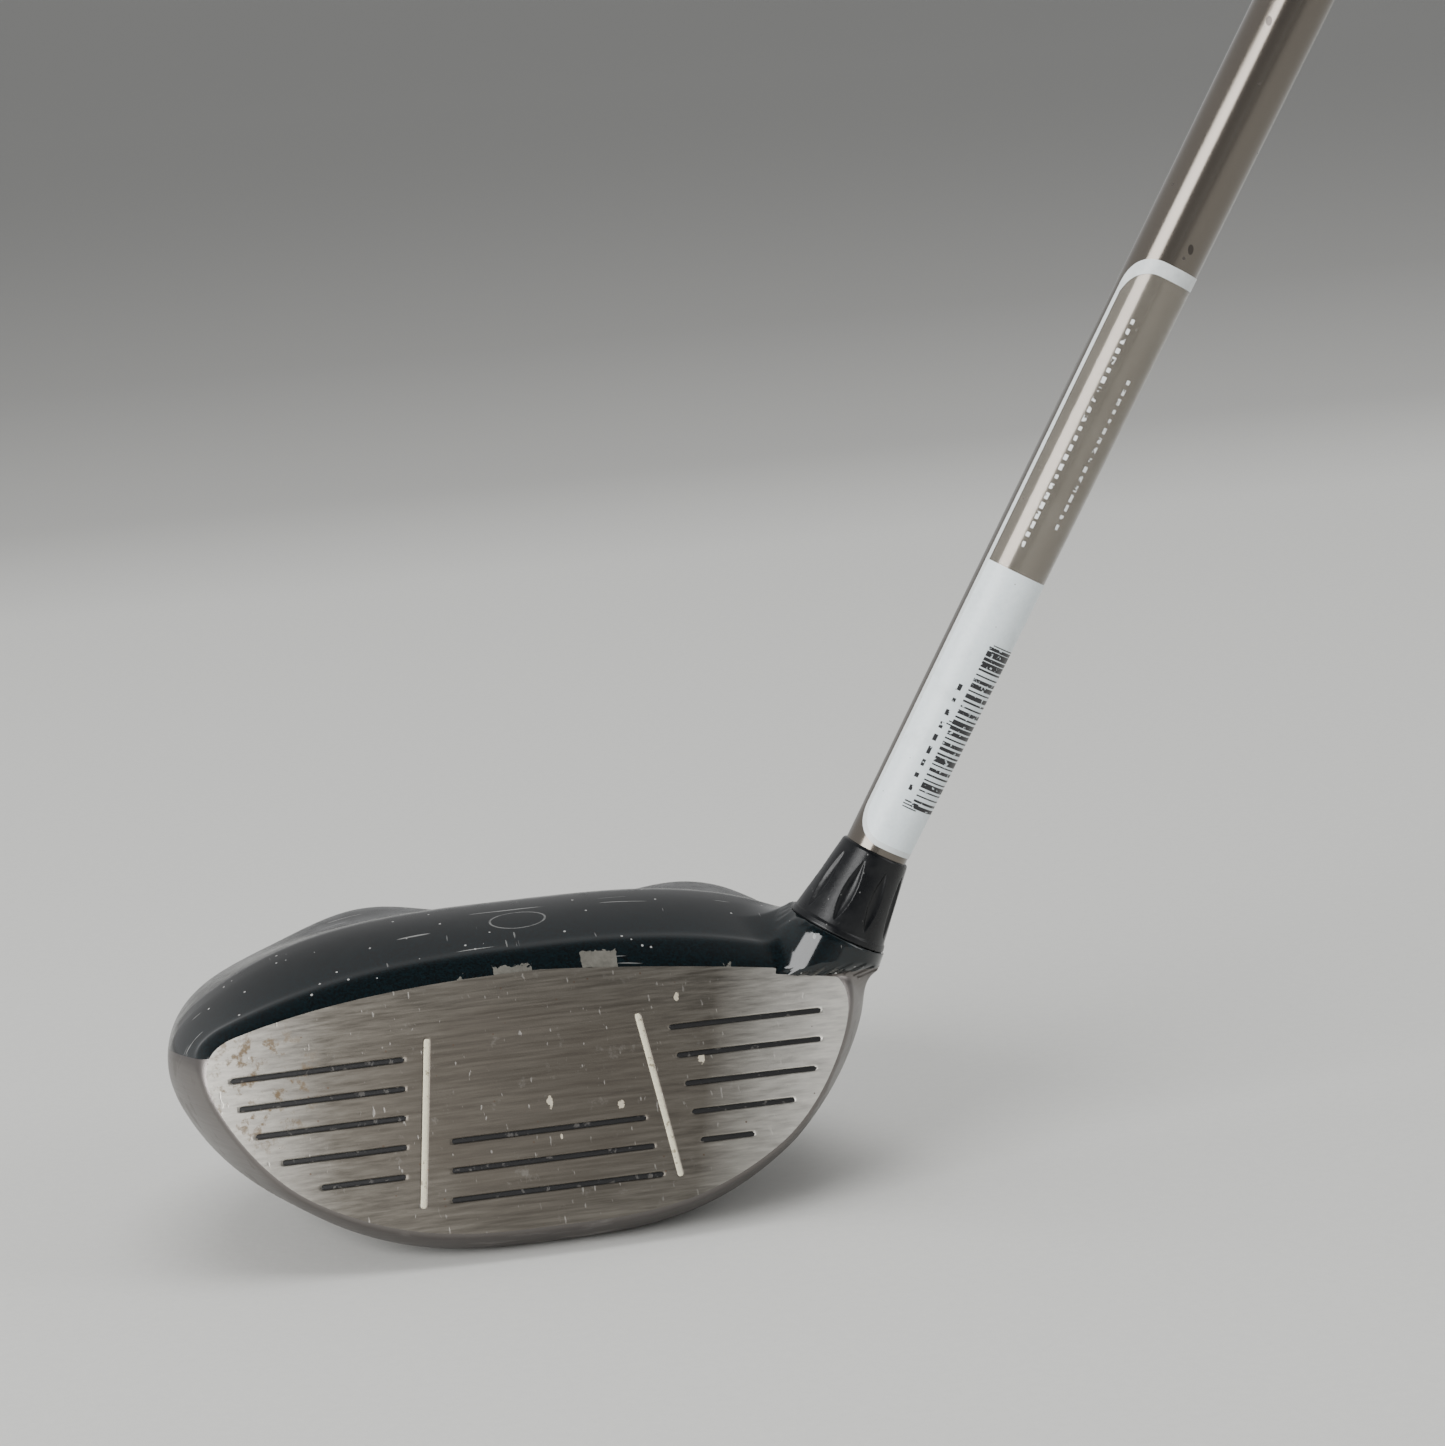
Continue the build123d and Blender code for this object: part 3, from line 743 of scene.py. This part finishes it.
collar = Maker(
    "fluted_collar",
    Start="Float",
    Length="Float",
    Base_radius="Float",
    Top_radius="Float",
    Bore="Float",
    Corner="Float",
    Flutes="Float",
    Flute_depth="Float",
    Material="Material",
)
sheet = collar.node(
    "GeometryNodeMeshGrid", {}, {"Size X": 1.0, "Size Y": 1.0, "Vertices X": 289, "Vertices Y": 150}
)
flat = collar.node("GeometryNodeInputPosition", {}, {})
turn = (collar.node("SeparateXYZ", {}, {"Vector": flat}, 0) + 0.5) * (2.0 * math.pi)
row = collar.node("SeparateXYZ", {}, {"Vector": flat}, 1) + 0.5
open_row = ((row - 0.04) / 0.92).most(0.0).least(1.0)
share = 0.5 - 0.5 * collar.node("Math", {"operation": "COSINE"}, {0: open_row * math.pi})
length = collar.given("Length")
to_lip = (share * length).least((1.0 - share) * length)
corner = collar.given("Corner")
near = (1.0 - to_lip / corner).most(0.0)
fall = corner * (1.0 - (1.0 - near * near).most(0.0) ** 0.5)
lip = ((share * length - 0.9) / 0.25).most(0.0).least(1.0)
cone = collar.given("Base radius") + (collar.given("Top radius") - collar.given("Base radius")) * share**0.92
phase = collar.node("Math", {"operation": "FRACT"}, {0: turn / (2.0 * math.pi) * collar.given("Flutes") + 0.35})
leaf_long = ((share - 0.51) / 0.36) ** 2.0
leaf_width = (1.0 - leaf_long).most(0.0) * 0.22 + 0.0001
leaf_across = abs(phase - 0.5) / leaf_width
leaf = (1.0 - leaf_across**2.0).most(0.0) ** 0.8 * (1.0 - leaf_long).most(0.0) ** 0.5
radius = cone - lip * 0.16 - fall - leaf * collar.given("Flute depth")
closed = (row / 0.04).least((1.0 - row) / 0.04).least(1.0)
bore = collar.given("Bore")
placed = shaft_frame(collar, collar.given("Start") + share * length, bore + (radius - bore) * closed, turn)
formed = collar.node("GeometryNodeSetPosition", {}, {"Geometry": sheet, "Position": placed})
collar.end(collar.node("GeometryNodeMergeByDistance", {}, {"Geometry": formed, "Distance": 0.000005}))

plastic = Finish("ferrule_black_plastic")
haze = plastic.ramp(plastic.cloud(330.0, 6.0, roughness=0.65), ((0.42, 0.0), (0.75, 1.0)))
nicks = plastic.specks(1200.0, 0.12, 0.10)
streak = plastic.ramp(plastic.cloud(260.0, 3.0, (1.0, 4.0, 0.5)), ((0.66, 0.0), (0.70, 1.0)))
ferrule_black = plastic.shade(
    Base_Color=plastic.blend((nicks * 0.25).most(streak * 0.06) + haze * 0.012, (0.004, 0.0045, 0.0055), (0.55, 0.55, 0.54)),
    Roughness=0.27 + haze * 0.16 + nicks * 0.3,
    IOR=1.36,
    Coat_Weight=0.05,
    Coat_Roughness=0.08,
    Normal=plastic.bump(plastic.cloud(1500.0, 4.0) * 0.4 - nicks * 0.6 + haze * 0.3, 0.00004, 0.5),
)
fluted = collar.make(
    "ferrule_collar",
    Start=SEAT,
    Length=FERRULE_TOP - SEAT,
    Base_radius=7.1,
    Top_radius=5.0,
    Bore=BORE,
    Corner=0.42,
    Flutes=9.0,
    Flute_depth=0.42,
    Material=ferrule_black,
)
place_piece("ferrule_collar", fluted, None, ["ferrule"])


# ================================================================ shaft
# Tapered tube, painted a gloss pewter.  The tip is parallel for a little way above the
# neck, then it swells steadily to the grip.
def shaft_radius(s):
    return 4.45 + np.clip(0.00425 * (s - 48.0), 0.0, 3.17)


def turned(profile, turns):
    """Lathe a closed profile of (radius, along) points round the shaft's line."""
    mesh = bmesh.new()
    hoops = []
    for angle in np.linspace(0.0, 2.0 * math.pi, turns, endpoint=False):
        out = math.cos(angle) * heel_side + math.sin(angle) * back_side
        hoops.append([mesh.verts.new(Vector(shaft_foot + s * shaft_line + r * out) * MM) for r, s in profile])
    for hoop, after in zip(hoops, hoops[1:] + hoops[:1]):
        for i in range(len(profile)):
            j = (i + 1) % len(profile)
            mesh.faces.new((hoop[i], hoop[j], after[j], after[i]))
    bmesh.ops.recalc_face_normals(mesh, faces=mesh.faces)
    return mesh


along = [13.6, 24.0, 36.0, 44.0, 48.0] + list(np.linspace(58.0, 1062.0, 90))
outer = [(float(shaft_radius(s)), s) for s in along]
inner = [(r - 1.0, s) for r, s in reversed(outer)]
pewter = Finish("shaft_pewter_gloss")
x, y, z = (pewter.node("SeparateXYZ", {}, {"Vector": pewter.place}, axis) for axis in range(3))
along_shaft = (x * 1000.0 - 22.8) * float(shaft_line[0]) + z * 1000.0 * float(shaft_line[2])
flake = pewter.cloud(6000.0, 3.0)
tone = pewter.cloud(30.0, 3.0)
chips = pewter.specks(420.0, 0.10, 0.16)
rubbed = pewter.specks(160.0, 0.09, 0.12, (0.02, 0.03, 0.01), (1.0, 1.0, 0.6))
drawn = pewter.cloud(420.0, 4.0, (1.0, 1.0, 0.12))
base = pewter.blend(flake * 0.5 + tone * 0.5, (0.115, 0.100, 0.084), (0.19, 0.168, 0.143))
shaft_finish = pewter.shade(
    Base_Color=pewter.blend(chips.most(rubbed) * 0.85, base, (0.035, 0.028, 0.024)),
    Metallic=0.85 - chips * 0.6,
    Roughness=0.13 + flake * 0.05 + drawn * 0.04 + chips * 0.3,
    Coat_Weight=0.4,
    Coat_Roughness=0.05,
    Normal=pewter.bump(flake * 0.3 + drawn * 0.4 - chips.most(rubbed) * 1.5, 0.00003, 0.4),
)
place_piece("shaft_tube", turned(outer + inner, 128), shaft_finish, ["shaft"])

# ================================================================ label
# Shop label: one film wrapped round the shaft just above the ferrule.  Its lower part is
# backed in pale blue, its upper part is clear, and a light border runs round the edge.
LABEL_LOW, LABEL_TOP, LABEL_TURN, LABEL_WRAP = 54.7, 143.0, 195.0, 250.0
PATCH_TOP = 96.6
label_width = math.radians(LABEL_WRAP) * 4.6


def on_label(arc, s, lift):
    """Point over the shaft: arc in millimetres from the label's near edge."""
    radius = shaft_radius(s) + lift
    angle = math.radians(LABEL_TURN) + arc / 4.6
    out = np.multiply.outer(np.cos(angle), heel_side) + np.multiply.outer(np.sin(angle), back_side)
    return shaft_foot + np.multiply.outer(s, shaft_line) + radius[..., None] * out


def label_edge(arc, s, corner):
    """Distance inside the label's rounded outline (millimetres)."""
    half_w, half_h = 0.5 * label_width, 0.5 * (LABEL_TOP - LABEL_LOW)
    dx = np.abs(arc - half_w) - half_w + corner
    dy = np.abs(s - LABEL_LOW - half_h) - half_h + corner
    outside = np.hypot(np.maximum(dx, 0.0), np.maximum(dy, 0.0))
    return corner - outside - np.minimum(np.maximum(dx, dy), 0.0)


def label_sheet(inside, lift, thick):
    """Thin sheet over the label wherever inside(arc, s) is above zero."""
    arcs = np.linspace(0.0, label_width, 150)
    heights = np.linspace(LABEL_LOW, LABEL_TOP, 480)
    a, s = np.meshgrid(arcs, heights)
    mesh = bmesh.new()
    flat = mesh.verts.layers.float_vector.new("flat")
    grid = [[mesh.verts.new((a[i, j], s[i, j], 0.0)) for j in range(a.shape[1])] for i in range(a.shape[0])]
    for below, above in zip(grid, grid[1:]):
        for i in range(len(below) - 1):
            mesh.faces.new((below[i], below[i + 1], above[i + 1], above[i]))
    rule = lambda p: -inside(p[..., 0] * MM, p[..., 1] * MM)
    cut_along(mesh, rule)
    kept = part_of(mesh, rule)
    mesh.free()
    places = np.array([v.co for v in kept.verts])
    for vert, spot in zip(kept.verts, on_label(places[:, 0], places[:, 1], lift + thick)):
        vert.co = Vector(spot) * MM
    bmesh.ops.recalc_face_normals(kept, faces=kept.faces)
    return kept


def patch_inside(arc, s):
    return np.minimum(label_edge(arc, s, 5.0) - 0.75, PATCH_TOP - s)


def border_inside(arc, s):
    inner = label_edge(arc, s, 5.0)
    width = 0.75 + 1.25 * np.clip((s - LABEL_TOP + 6.0) / 3.5, 0.0, 1.0)
    return np.minimum(inner, width - inner)


def film_inside(arc, s):
    return np.minimum(label_edge(arc, s, 5.0) - 0.7, s - PATCH_TOP)


paper_print = Finish("label_pale_blue")
fibre = paper_print.cloud(1700.0, 5.0, roughness=0.7)
soil = paper_print.ramp(paper_print.cloud(320.0, 5.0), ((0.55, 0.0), (0.80, 1.0)))
specks = paper_print.specks(1300.0, 0.12, 0.06)
tone = paper_print.blend(fibre, (0.66, 0.745, 0.775), (0.86, 0.92, 0.94))
label_blue = paper_print.shade(
    Base_Color=paper_print.blend((soil * 0.2).most(specks * 0.7), tone, (0.12, 0.12, 0.12)),
    Roughness=0.42 + fibre * 0.15,
    Coat_Weight=0.25,
    Coat_Roughness=0.2,
    Normal=paper_print.bump(fibre, 0.00003, 0.4),
)
place_piece("label_patch", label_sheet(patch_inside, 0.02, 0.07), label_blue, ["shaft_label"])
edge_print = Finish("label_border_white")
rubbed_edge = edge_print.cloud(900.0, 5.0)
label_white = edge_print.shade(
    Base_Color=edge_print.blend(rubbed_edge, (0.50, 0.54, 0.55), (0.80, 0.83, 0.83)),
    Roughness=0.3 + rubbed_edge * 0.15,
    Normal=edge_print.bump(rubbed_edge, 0.00002, 0.3),
)
place_piece("label_border", label_sheet(border_inside, 0.02, 0.075), label_white)
clear = Finish("label_clear_film")
wrinkle = clear.cloud(140.0, 3.0)
film_clear = clear.shade(
    Base_Color=clear.blend(wrinkle, (0.60, 0.55, 0.45), (0.72, 0.68, 0.58)),
    Alpha=0.10 + wrinkle * 0.06,
    Roughness=0.12 + wrinkle * 0.1,
    Coat_Weight=0.8,
    Coat_Roughness=0.05,
    Normal=clear.bump(wrinkle, 0.0002, 0.4),
)
place_piece("label_film", label_sheet(film_inside, 0.02, 0.07), film_clear)

# ---------------------------------------------------------------- label print
# Printed bars run across the shaft, each a strip that wraps round it; plain dashes stand
# where the small print was.  Both are rubbed thin.
bars = Maker(
    "wrapped_bars",
    Count="Int",
    First="Float",
    Pitch="Float",
    Thinnest="Float",
    Thickest="Float",
    Arc_start="Float",
    Arc_length="Float",
    Raggedness="Float",
    Radius="Float",
    Swell="Float",
    Seed="Int",
    Material="Material",
)
index = bars.node("GeometryNodeInputIndex", {}, {})
dots = bars.node("GeometryNodeMeshLine", {}, {"Count": bars.given("Count"), "Offset": (0.0, 1.0, 0.0)})


def drawn_at_random(low, high, seed, step=0.0):
    """A number for each bar, from low to high, fixed by the seed."""
    inputs = {"Min": low, "Max": high, "ID": index, "Seed": seed}
    picked = bars.tree.nodes.new("FunctionNodeRandomValue")
    picked.data_type = "FLOAT"
    for socket in picked.inputs:
        if socket.enabled and socket.name in inputs:
            value = inputs[socket.name]
            if isinstance(value, Wire):
                bars.tree.links.new(value.socket, socket)
            else:
                socket.default_value = value
    enabled = [socket for socket in picked.outputs if socket.enabled]
    return Wire(bars, enabled[0])


strip = bars.node("GeometryNodeMeshGrid", {}, {"Size X": 1.0, "Size Y": 1.0, "Vertices X": 40, "Vertices Y": 2})
seed = bars.given("Seed")
wide = bars.given("Thinnest") + (bars.given("Thickest") - bars.given("Thinnest")) * drawn_at_random(0.0, 1.0, seed) ** 2.0
short = bars.given("Raggedness") * drawn_at_random(0.0, 1.0, seed + 1)
long = bars.given("Arc length") - short
start = bars.given("Arc start") + short + long * 0.5
where = bars.node(
    "CombineXYZ", {}, {0: start, 1: bars.given("First") + bars.given("Pitch") * index}
)
dots = bars.node("GeometryNodeSetPosition", {}, {"Geometry": dots, "Position": where})
size = bars.node("CombineXYZ", {}, {0: long, 1: wide, 2: 1.0})
many = bars.node("GeometryNodeInstanceOnPoints", {}, {"Points": dots, "Instance": strip, "Scale": size})
many = bars.node("GeometryNodeRealizeInstances", {}, {0: many})
flat = bars.node("GeometryNodeInputPosition", {}, {})
x, y = (bars.node("SeparateXYZ", {}, {"Vector": flat}, axis) for axis in range(2))
wrapped = shaft_frame(bars, y, bars.given("Radius") + bars.given("Swell") * y, x / 4.6 + math.radians(LABEL_TURN))
bars.end(bars.node("GeometryNodeSetPosition", {}, {"Geometry": many, "Position": wrapped}))


def ink(name, colour, paper, share):
    """Print that has rubbed away in places, back to what lies under it."""
    print_ink = Finish(name)
    missing = print_ink.ramp(print_ink.cloud(1500.0, 4.0, roughness=0.6), ((share, 0.0), (share + 0.04, 1.0)))
    return print_ink.shade(
        Base_Color=print_ink.blend(print_ink.cloud(3000.0, 2.0), colour, tuple(c * 1.5 + 0.01 for c in colour)),
        Alpha=1.0 - missing,
        Roughness=0.4 + missing * 0.1,
    )


swell = dict(Radius=4.45 - 0.00425 * 48.0 + 0.11, Swell=0.00425)
bar_arc = math.radians(275.0 - LABEL_TURN) * 4.6
bar_ink = ink("bar_ink_black", (0.008, 0.008, 0.010), (0.6, 0.6, 0.6), 0.60)
for name, count, first, pitch, thin, thick, begin, long, rag, seed in (
    ("label_bars", 31, 61.8, 0.80, 0.20, 0.86, bar_arc, 9.6, 0.0, 7),
    ("label_guard_bars", 3, 61.3, 0.42, 0.16, 0.24, bar_arc - 1.5, 2.5, 0.4, 2),
    ("label_middle_bars", 2, 74.0, 0.45, 0.16, 0.20, bar_arc - 0.9, 1.9, 0.4, 4),
    ("label_tail_bars", 3, 85.4, 0.45, 0.14, 0.20, bar_arc + 0.3, 7.6, 0.6, 5),
):
    made = bars.make(
        name,
        Count=count,
        First=first,
        Pitch=pitch,
        Thinnest=thin,
        Thickest=thick,
        Arc_start=begin,
        Arc_length=long,
        Raggedness=rag,
        Seed=seed,
        Material=bar_ink,
        **swell,
    )
    place_piece(name, made, None)
dash_ink = ink("dash_ink_white", (0.66, 0.68, 0.68), (0.3, 0.3, 0.3), 0.56)
for name, count, first, pitch, turn_at, long, material in (
    ("label_dashes_low", 9, 64.0, 1.9, 256.0, 0.60, bar_ink),
    ("label_dashes_mid", 16, 104.5, 1.45, 285.0, 0.55, dash_ink),
    ("label_dashes_left", 24, 100.5, 1.45, 246.0, 0.55, dash_ink),
):
    made = bars.make(
        name,
        Count=count,
        First=first,
        Pitch=pitch,
        Thinnest=0.55,
        Thickest=1.15,
        Arc_start=math.radians(turn_at - LABEL_TURN) * 4.6,
        Arc_length=long,
        Raggedness=0.15,
        Seed=11,
        Material=material,
        **swell,
    )
    place_piece(name, made, None)

# ================================================================ grip
# Moulded rubber sleeve, slid over double-sided tape, with rows of small raised pads laid
# out in a slanting lattice.  It has a plain collar at its mouth and one near the cap.
GRIP_START, GRIP_END = 796.0, 1058.0


def grip_radius(s):
    share = (s - GRIP_START) / (GRIP_END - GRIP_START)
    return 10.1 + 3.1 * share**1.25


rubber = Finish("grip_black_rubber")
grain = rubber.cloud(1800.0, 4.0)
dusty = rubber.ramp(rubber.cloud(60.0, 5.0), ((0.40, 0.0), (0.75, 1.0)))
grip_rubber = rubber.shade(
    Base_Color=rubber.blend(dusty * 0.5 + grain * 0.2, (0.012, 0.012, 0.013), (0.060, 0.058, 0.056)),
    Roughness=0.62 + grain * 0.2 + dusty * 0.1,
    Normal=rubber.bump(grain, 0.00008, 0.7),
)
sleeve = [(7.95, GRIP_END), (7.95, GRIP_START + 2.0), (8.4, GRIP_START), (9.4, GRIP_START), (9.9, GRIP_START + 0.4)]
for s in np.linspace(GRIP_START + 1.2, GRIP_END - 0.3, 130):
    collar_dip = 0.35 * math.exp(-(((s - GRIP_START - 9.0) / 0.7) ** 2)) + 0.35 * math.exp(
        -(((s - GRIP_END + 9.0) / 0.7) ** 2)
    )
    sleeve.append((float(grip_radius(s)) - collar_dip, float(s)))
sleeve.append((13.0, GRIP_END))
place_piece("grip_sleeve_rubber", turned(sleeve, 120), grip_rubber, ["grip_sleeve"])

pads = Maker(
    "grip_pads",
    Rows="Int",
    Round="Int",
    Start="Float",
    Run="Float",
    Mouth_radius="Float",
    Butt_radius="Float",
    Pad_long="Float",
    Pad_wide="Float",
    Pad_high="Float",
    Slant="Float",
    Material="Material",
)
lattice = pads.node(
    "GeometryNodeMeshGrid",
    {},
    {"Size X": 1.0, "Size Y": 1.0, "Vertices X": pads.given("Round"), "Vertices Y": pads.given("Rows")},
)
dots = pads.node("GeometryNodeMeshToPoints", {}, {"Mesh": lattice})
button = pads.node("GeometryNodeMeshUVSphere", {}, {"Segments": 8, "Rings": 5, "Radius": 0.5})
shape = pads.node(
    "CombineXYZ", {}, {0: pads.given("Pad wide"), 1: pads.given("Pad long"), 2: pads.given("Pad high")}
)
flat = pads.node("GeometryNodeInputPosition", {}, {})
x, y = (pads.node("SeparateXYZ", {}, {"Vector": flat}, axis) for axis in range(2))
count = pads.given("Round") * 1.0
round_at = (x + 0.5) * (count - 1.0) / count * (2.0 * math.pi * 11.6) + y * pads.given("Slant")
seat_at = pads.node("CombineXYZ", {}, {0: round_at, 1: (y + 0.5) * pads.given("Run") + pads.given("Start")})
dots = pads.node("GeometryNodeSetPosition", {}, {"Geometry": dots, "Position": seat_at})
many = pads.node("GeometryNodeInstanceOnPoints", {}, {"Points": dots, "Instance": button, "Scale": shape})
many = pads.node("GeometryNodeRealizeInstances", {}, {0: many})
flat = pads.node("GeometryNodeInputPosition", {}, {})
x, y, z = (pads.node("SeparateXYZ", {}, {"Vector": flat}, axis) for axis in range(3))
share = ((y - GRIP_START) / (GRIP_END - GRIP_START)).most(0.0)
rise = pads.given("Butt radius") - pads.given("Mouth radius")
bent = shaft_frame(pads, y, pads.given("Mouth radius") + rise * share**1.25 + z, x / 11.6)
pads.end(pads.node("GeometryNodeSetPosition", {}, {"Geometry": many, "Position": bent}))
for name, slant in (("grip_pads", 150.0),):
    made = pads.make(
        name,
        Rows=72,
        Round=30,
        Start=GRIP_START + 14.0,
        Run=GRIP_END - GRIP_START - 28.0,
        Mouth_radius=10.1,
        Butt_radius=13.2,
        Pad_long=2.2,
        Pad_wide=1.3,
        Pad_high=0.7,
        Slant=slant,
        Material=grip_rubber,
    )
    place_piece(name, made, None)

# ================================================================ grip cap
# Domed rubber end of the sleeve, a shade harder and smoother, with a rounded rim, one
# shallow ring and the small vent hole in the middle.
CAP_START, CAP_END = 1058.0, 1067.0
harder = Finish("cap_black_rubber")
speckle = harder.cloud(1400.0, 4.0)
cap_rubber = harder.shade(
    Base_Color=harder.blend(speckle, (0.010, 0.010, 0.011), (0.034, 0.033, 0.032)),
    Roughness=0.5 + speckle * 0.15,
    Normal=harder.bump(speckle, 0.00005, 0.6),
)
cap = [(1.5, CAP_START + 4.0), (1.5, CAP_END - 0.4), (1.9, CAP_END - 0.05)]
cap += [(float(r), CAP_END - 0.05 - 0.5 * math.exp(-(((r - 8.5) / 0.5) ** 2))) for r in np.linspace(2.4, 12.6, 60)]
cap += [(12.8 + 2.4 * math.sin(t), CAP_END - 2.4 + 2.35 * math.cos(t)) for t in np.linspace(0.1, math.pi / 2, 10)]
cap += [(15.2, CAP_START + 3.2), (14.9, CAP_START + 1.4), (13.9, CAP_START + 0.3), (13.1, CAP_START + 0.02)]
cap += [(7.7, CAP_START + 0.02), (7.7, CAP_START + 4.0)]
place_piece("grip_cap_rubber", turned(cap, 120), cap_rubber, ["grip_cap"])

# ================================================================ hidden pieces
# What a fitter puts inside: a dab of soft glue that quiets the head, the epoxy between
# tip and neck, the plug that stops it running up the shaft, and the paper grip tape.
for node_name, finish_name, dark, light, scale, gloss in (
    ("hot_melt", "glue_amber", (0.35, 0.26, 0.10), (0.62, 0.52, 0.28), 200.0, 0.35),
    ("bond_sleeve", "epoxy_amber", (0.16, 0.10, 0.04), (0.38, 0.28, 0.12), 500.0, 0.25),
    ("tip_plug", "plug_grey_plastic", (0.10, 0.10, 0.10), (0.20, 0.20, 0.20), 900.0, 0.55),
    ("grip_tape", "tape_crepe_paper", (0.48, 0.42, 0.30), (0.66, 0.60, 0.46), 700.0, 0.85),
):
    hidden = Finish(finish_name)
    mottle = hidden.cloud(scale, 5.0)
    made = hidden.shade(
        Base_Color=hidden.blend(mottle, dark, light),
        Roughness=gloss + mottle * 0.1,
        Normal=hidden.bump(mottle, 0.00005, 0.5),
    )
    node_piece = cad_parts[node_name]
    for slot_index in range(len(node_piece.material_slots)):
        node_piece.material_slots[slot_index].material = made

# ================================================================ stage
# Plain grey paper that runs far back, painted darker further off as painted shade where the light falls away; three
# soft lights.
floor_mesh = bmesh.new()
bmesh.ops.create_grid(floor_mesh, x_segments=1, y_segments=1, size=40.0)
floor_data = bpy.data.meshes.new("floor")
floor_mesh.to_mesh(floor_data)
floor_mesh.free()
floor = bpy.data.objects.new("floor", floor_data)
bpy.context.scene.collection.objects.link(floor)
paper = Finish("floor_paper")
back = paper.node("SeparateXYZ", {}, {"Vector": paper.place}, 1)
# Painted shade: the paper is painted darker with distance from the club, for light that falls away.
distance = paper.ramp(back / 4.0, ((0.155, 0.0), (0.205, 0.72), (0.32, 1.0), (1.0, 0.85)))
near_tone = paper.blend(paper.cloud(600.0, 6.0, roughness=0.7), (0.60, 0.60, 0.578), (0.68, 0.68, 0.655))
floor_data.materials.append(
    paper.shade(
        Base_Color=paper.blend(distance, near_tone, (0.36, 0.357, 0.344)),
        Roughness=0.9 + paper.cloud(30.0) * 0.05,
        Normal=paper.bump(paper.cloud(900.0, 4.0), 0.0001, 0.3),
    )
)
world = bpy.data.worlds.new("studio")
bpy.context.scene.world = world
world.use_nodes = True
room = Bench()
room.tree = world.node_tree
toward = room.node("TexCoord", {}, {}, "Generated")
ahead_up = room.node("VectorMath", {"operation": "DOT_PRODUCT"}, {0: toward, 1: (-0.08, -0.64, 0.76)}, "Value")
shaded = room.node("ValToRGB", {"stops": ((0.52, (0, 0, 0)), (0.92, (1, 1, 1)))}, {"Fac": ahead_up})
walls = {0: shaded, 6: (0.70, 0.705, 0.71, 1.0), 7: (0.08, 0.08, 0.08, 1.0)}
walls = room.node("Mix", {"data_type": "RGBA"}, walls, 2)
room.tree.links.new(walls.socket, room.tree.nodes["Background"].inputs["Color"])
room.tree.nodes["Background"].inputs["Strength"].default_value = 0.85


def softbox(name, place, target, width, height, power, mirrored):
    """Rectangular studio light at a place, aimed at a target."""
    lamp = bpy.data.lights.new(name, "AREA")
    lamp.shape = "RECTANGLE"
    lamp.size, lamp.size_y, lamp.energy = width, height, power
    holder = bpy.data.objects.new(name, lamp)
    holder.location = place
    aim = Vector(target) - Vector(place)
    holder.rotation_euler = aim.to_track_quat("-Z", "Y").to_euler()
    holder.visible_glossy = mirrored
    bpy.context.scene.collection.objects.link(holder)


softbox("light_overhead", (0.1, 0.2, 1.6), (0, 0, 0.03), 1.2, 1.0, 14.0, False)
softbox("light_left", (-1.08, -0.90, 0.55), (0.05, 0, 0.1), 1.0, 1.1, 34.0, True)
softbox("light_right", (1.3, -0.5, 0.6), (0.05, 0, 0.05), 0.5, 0.9, 4.0, True)
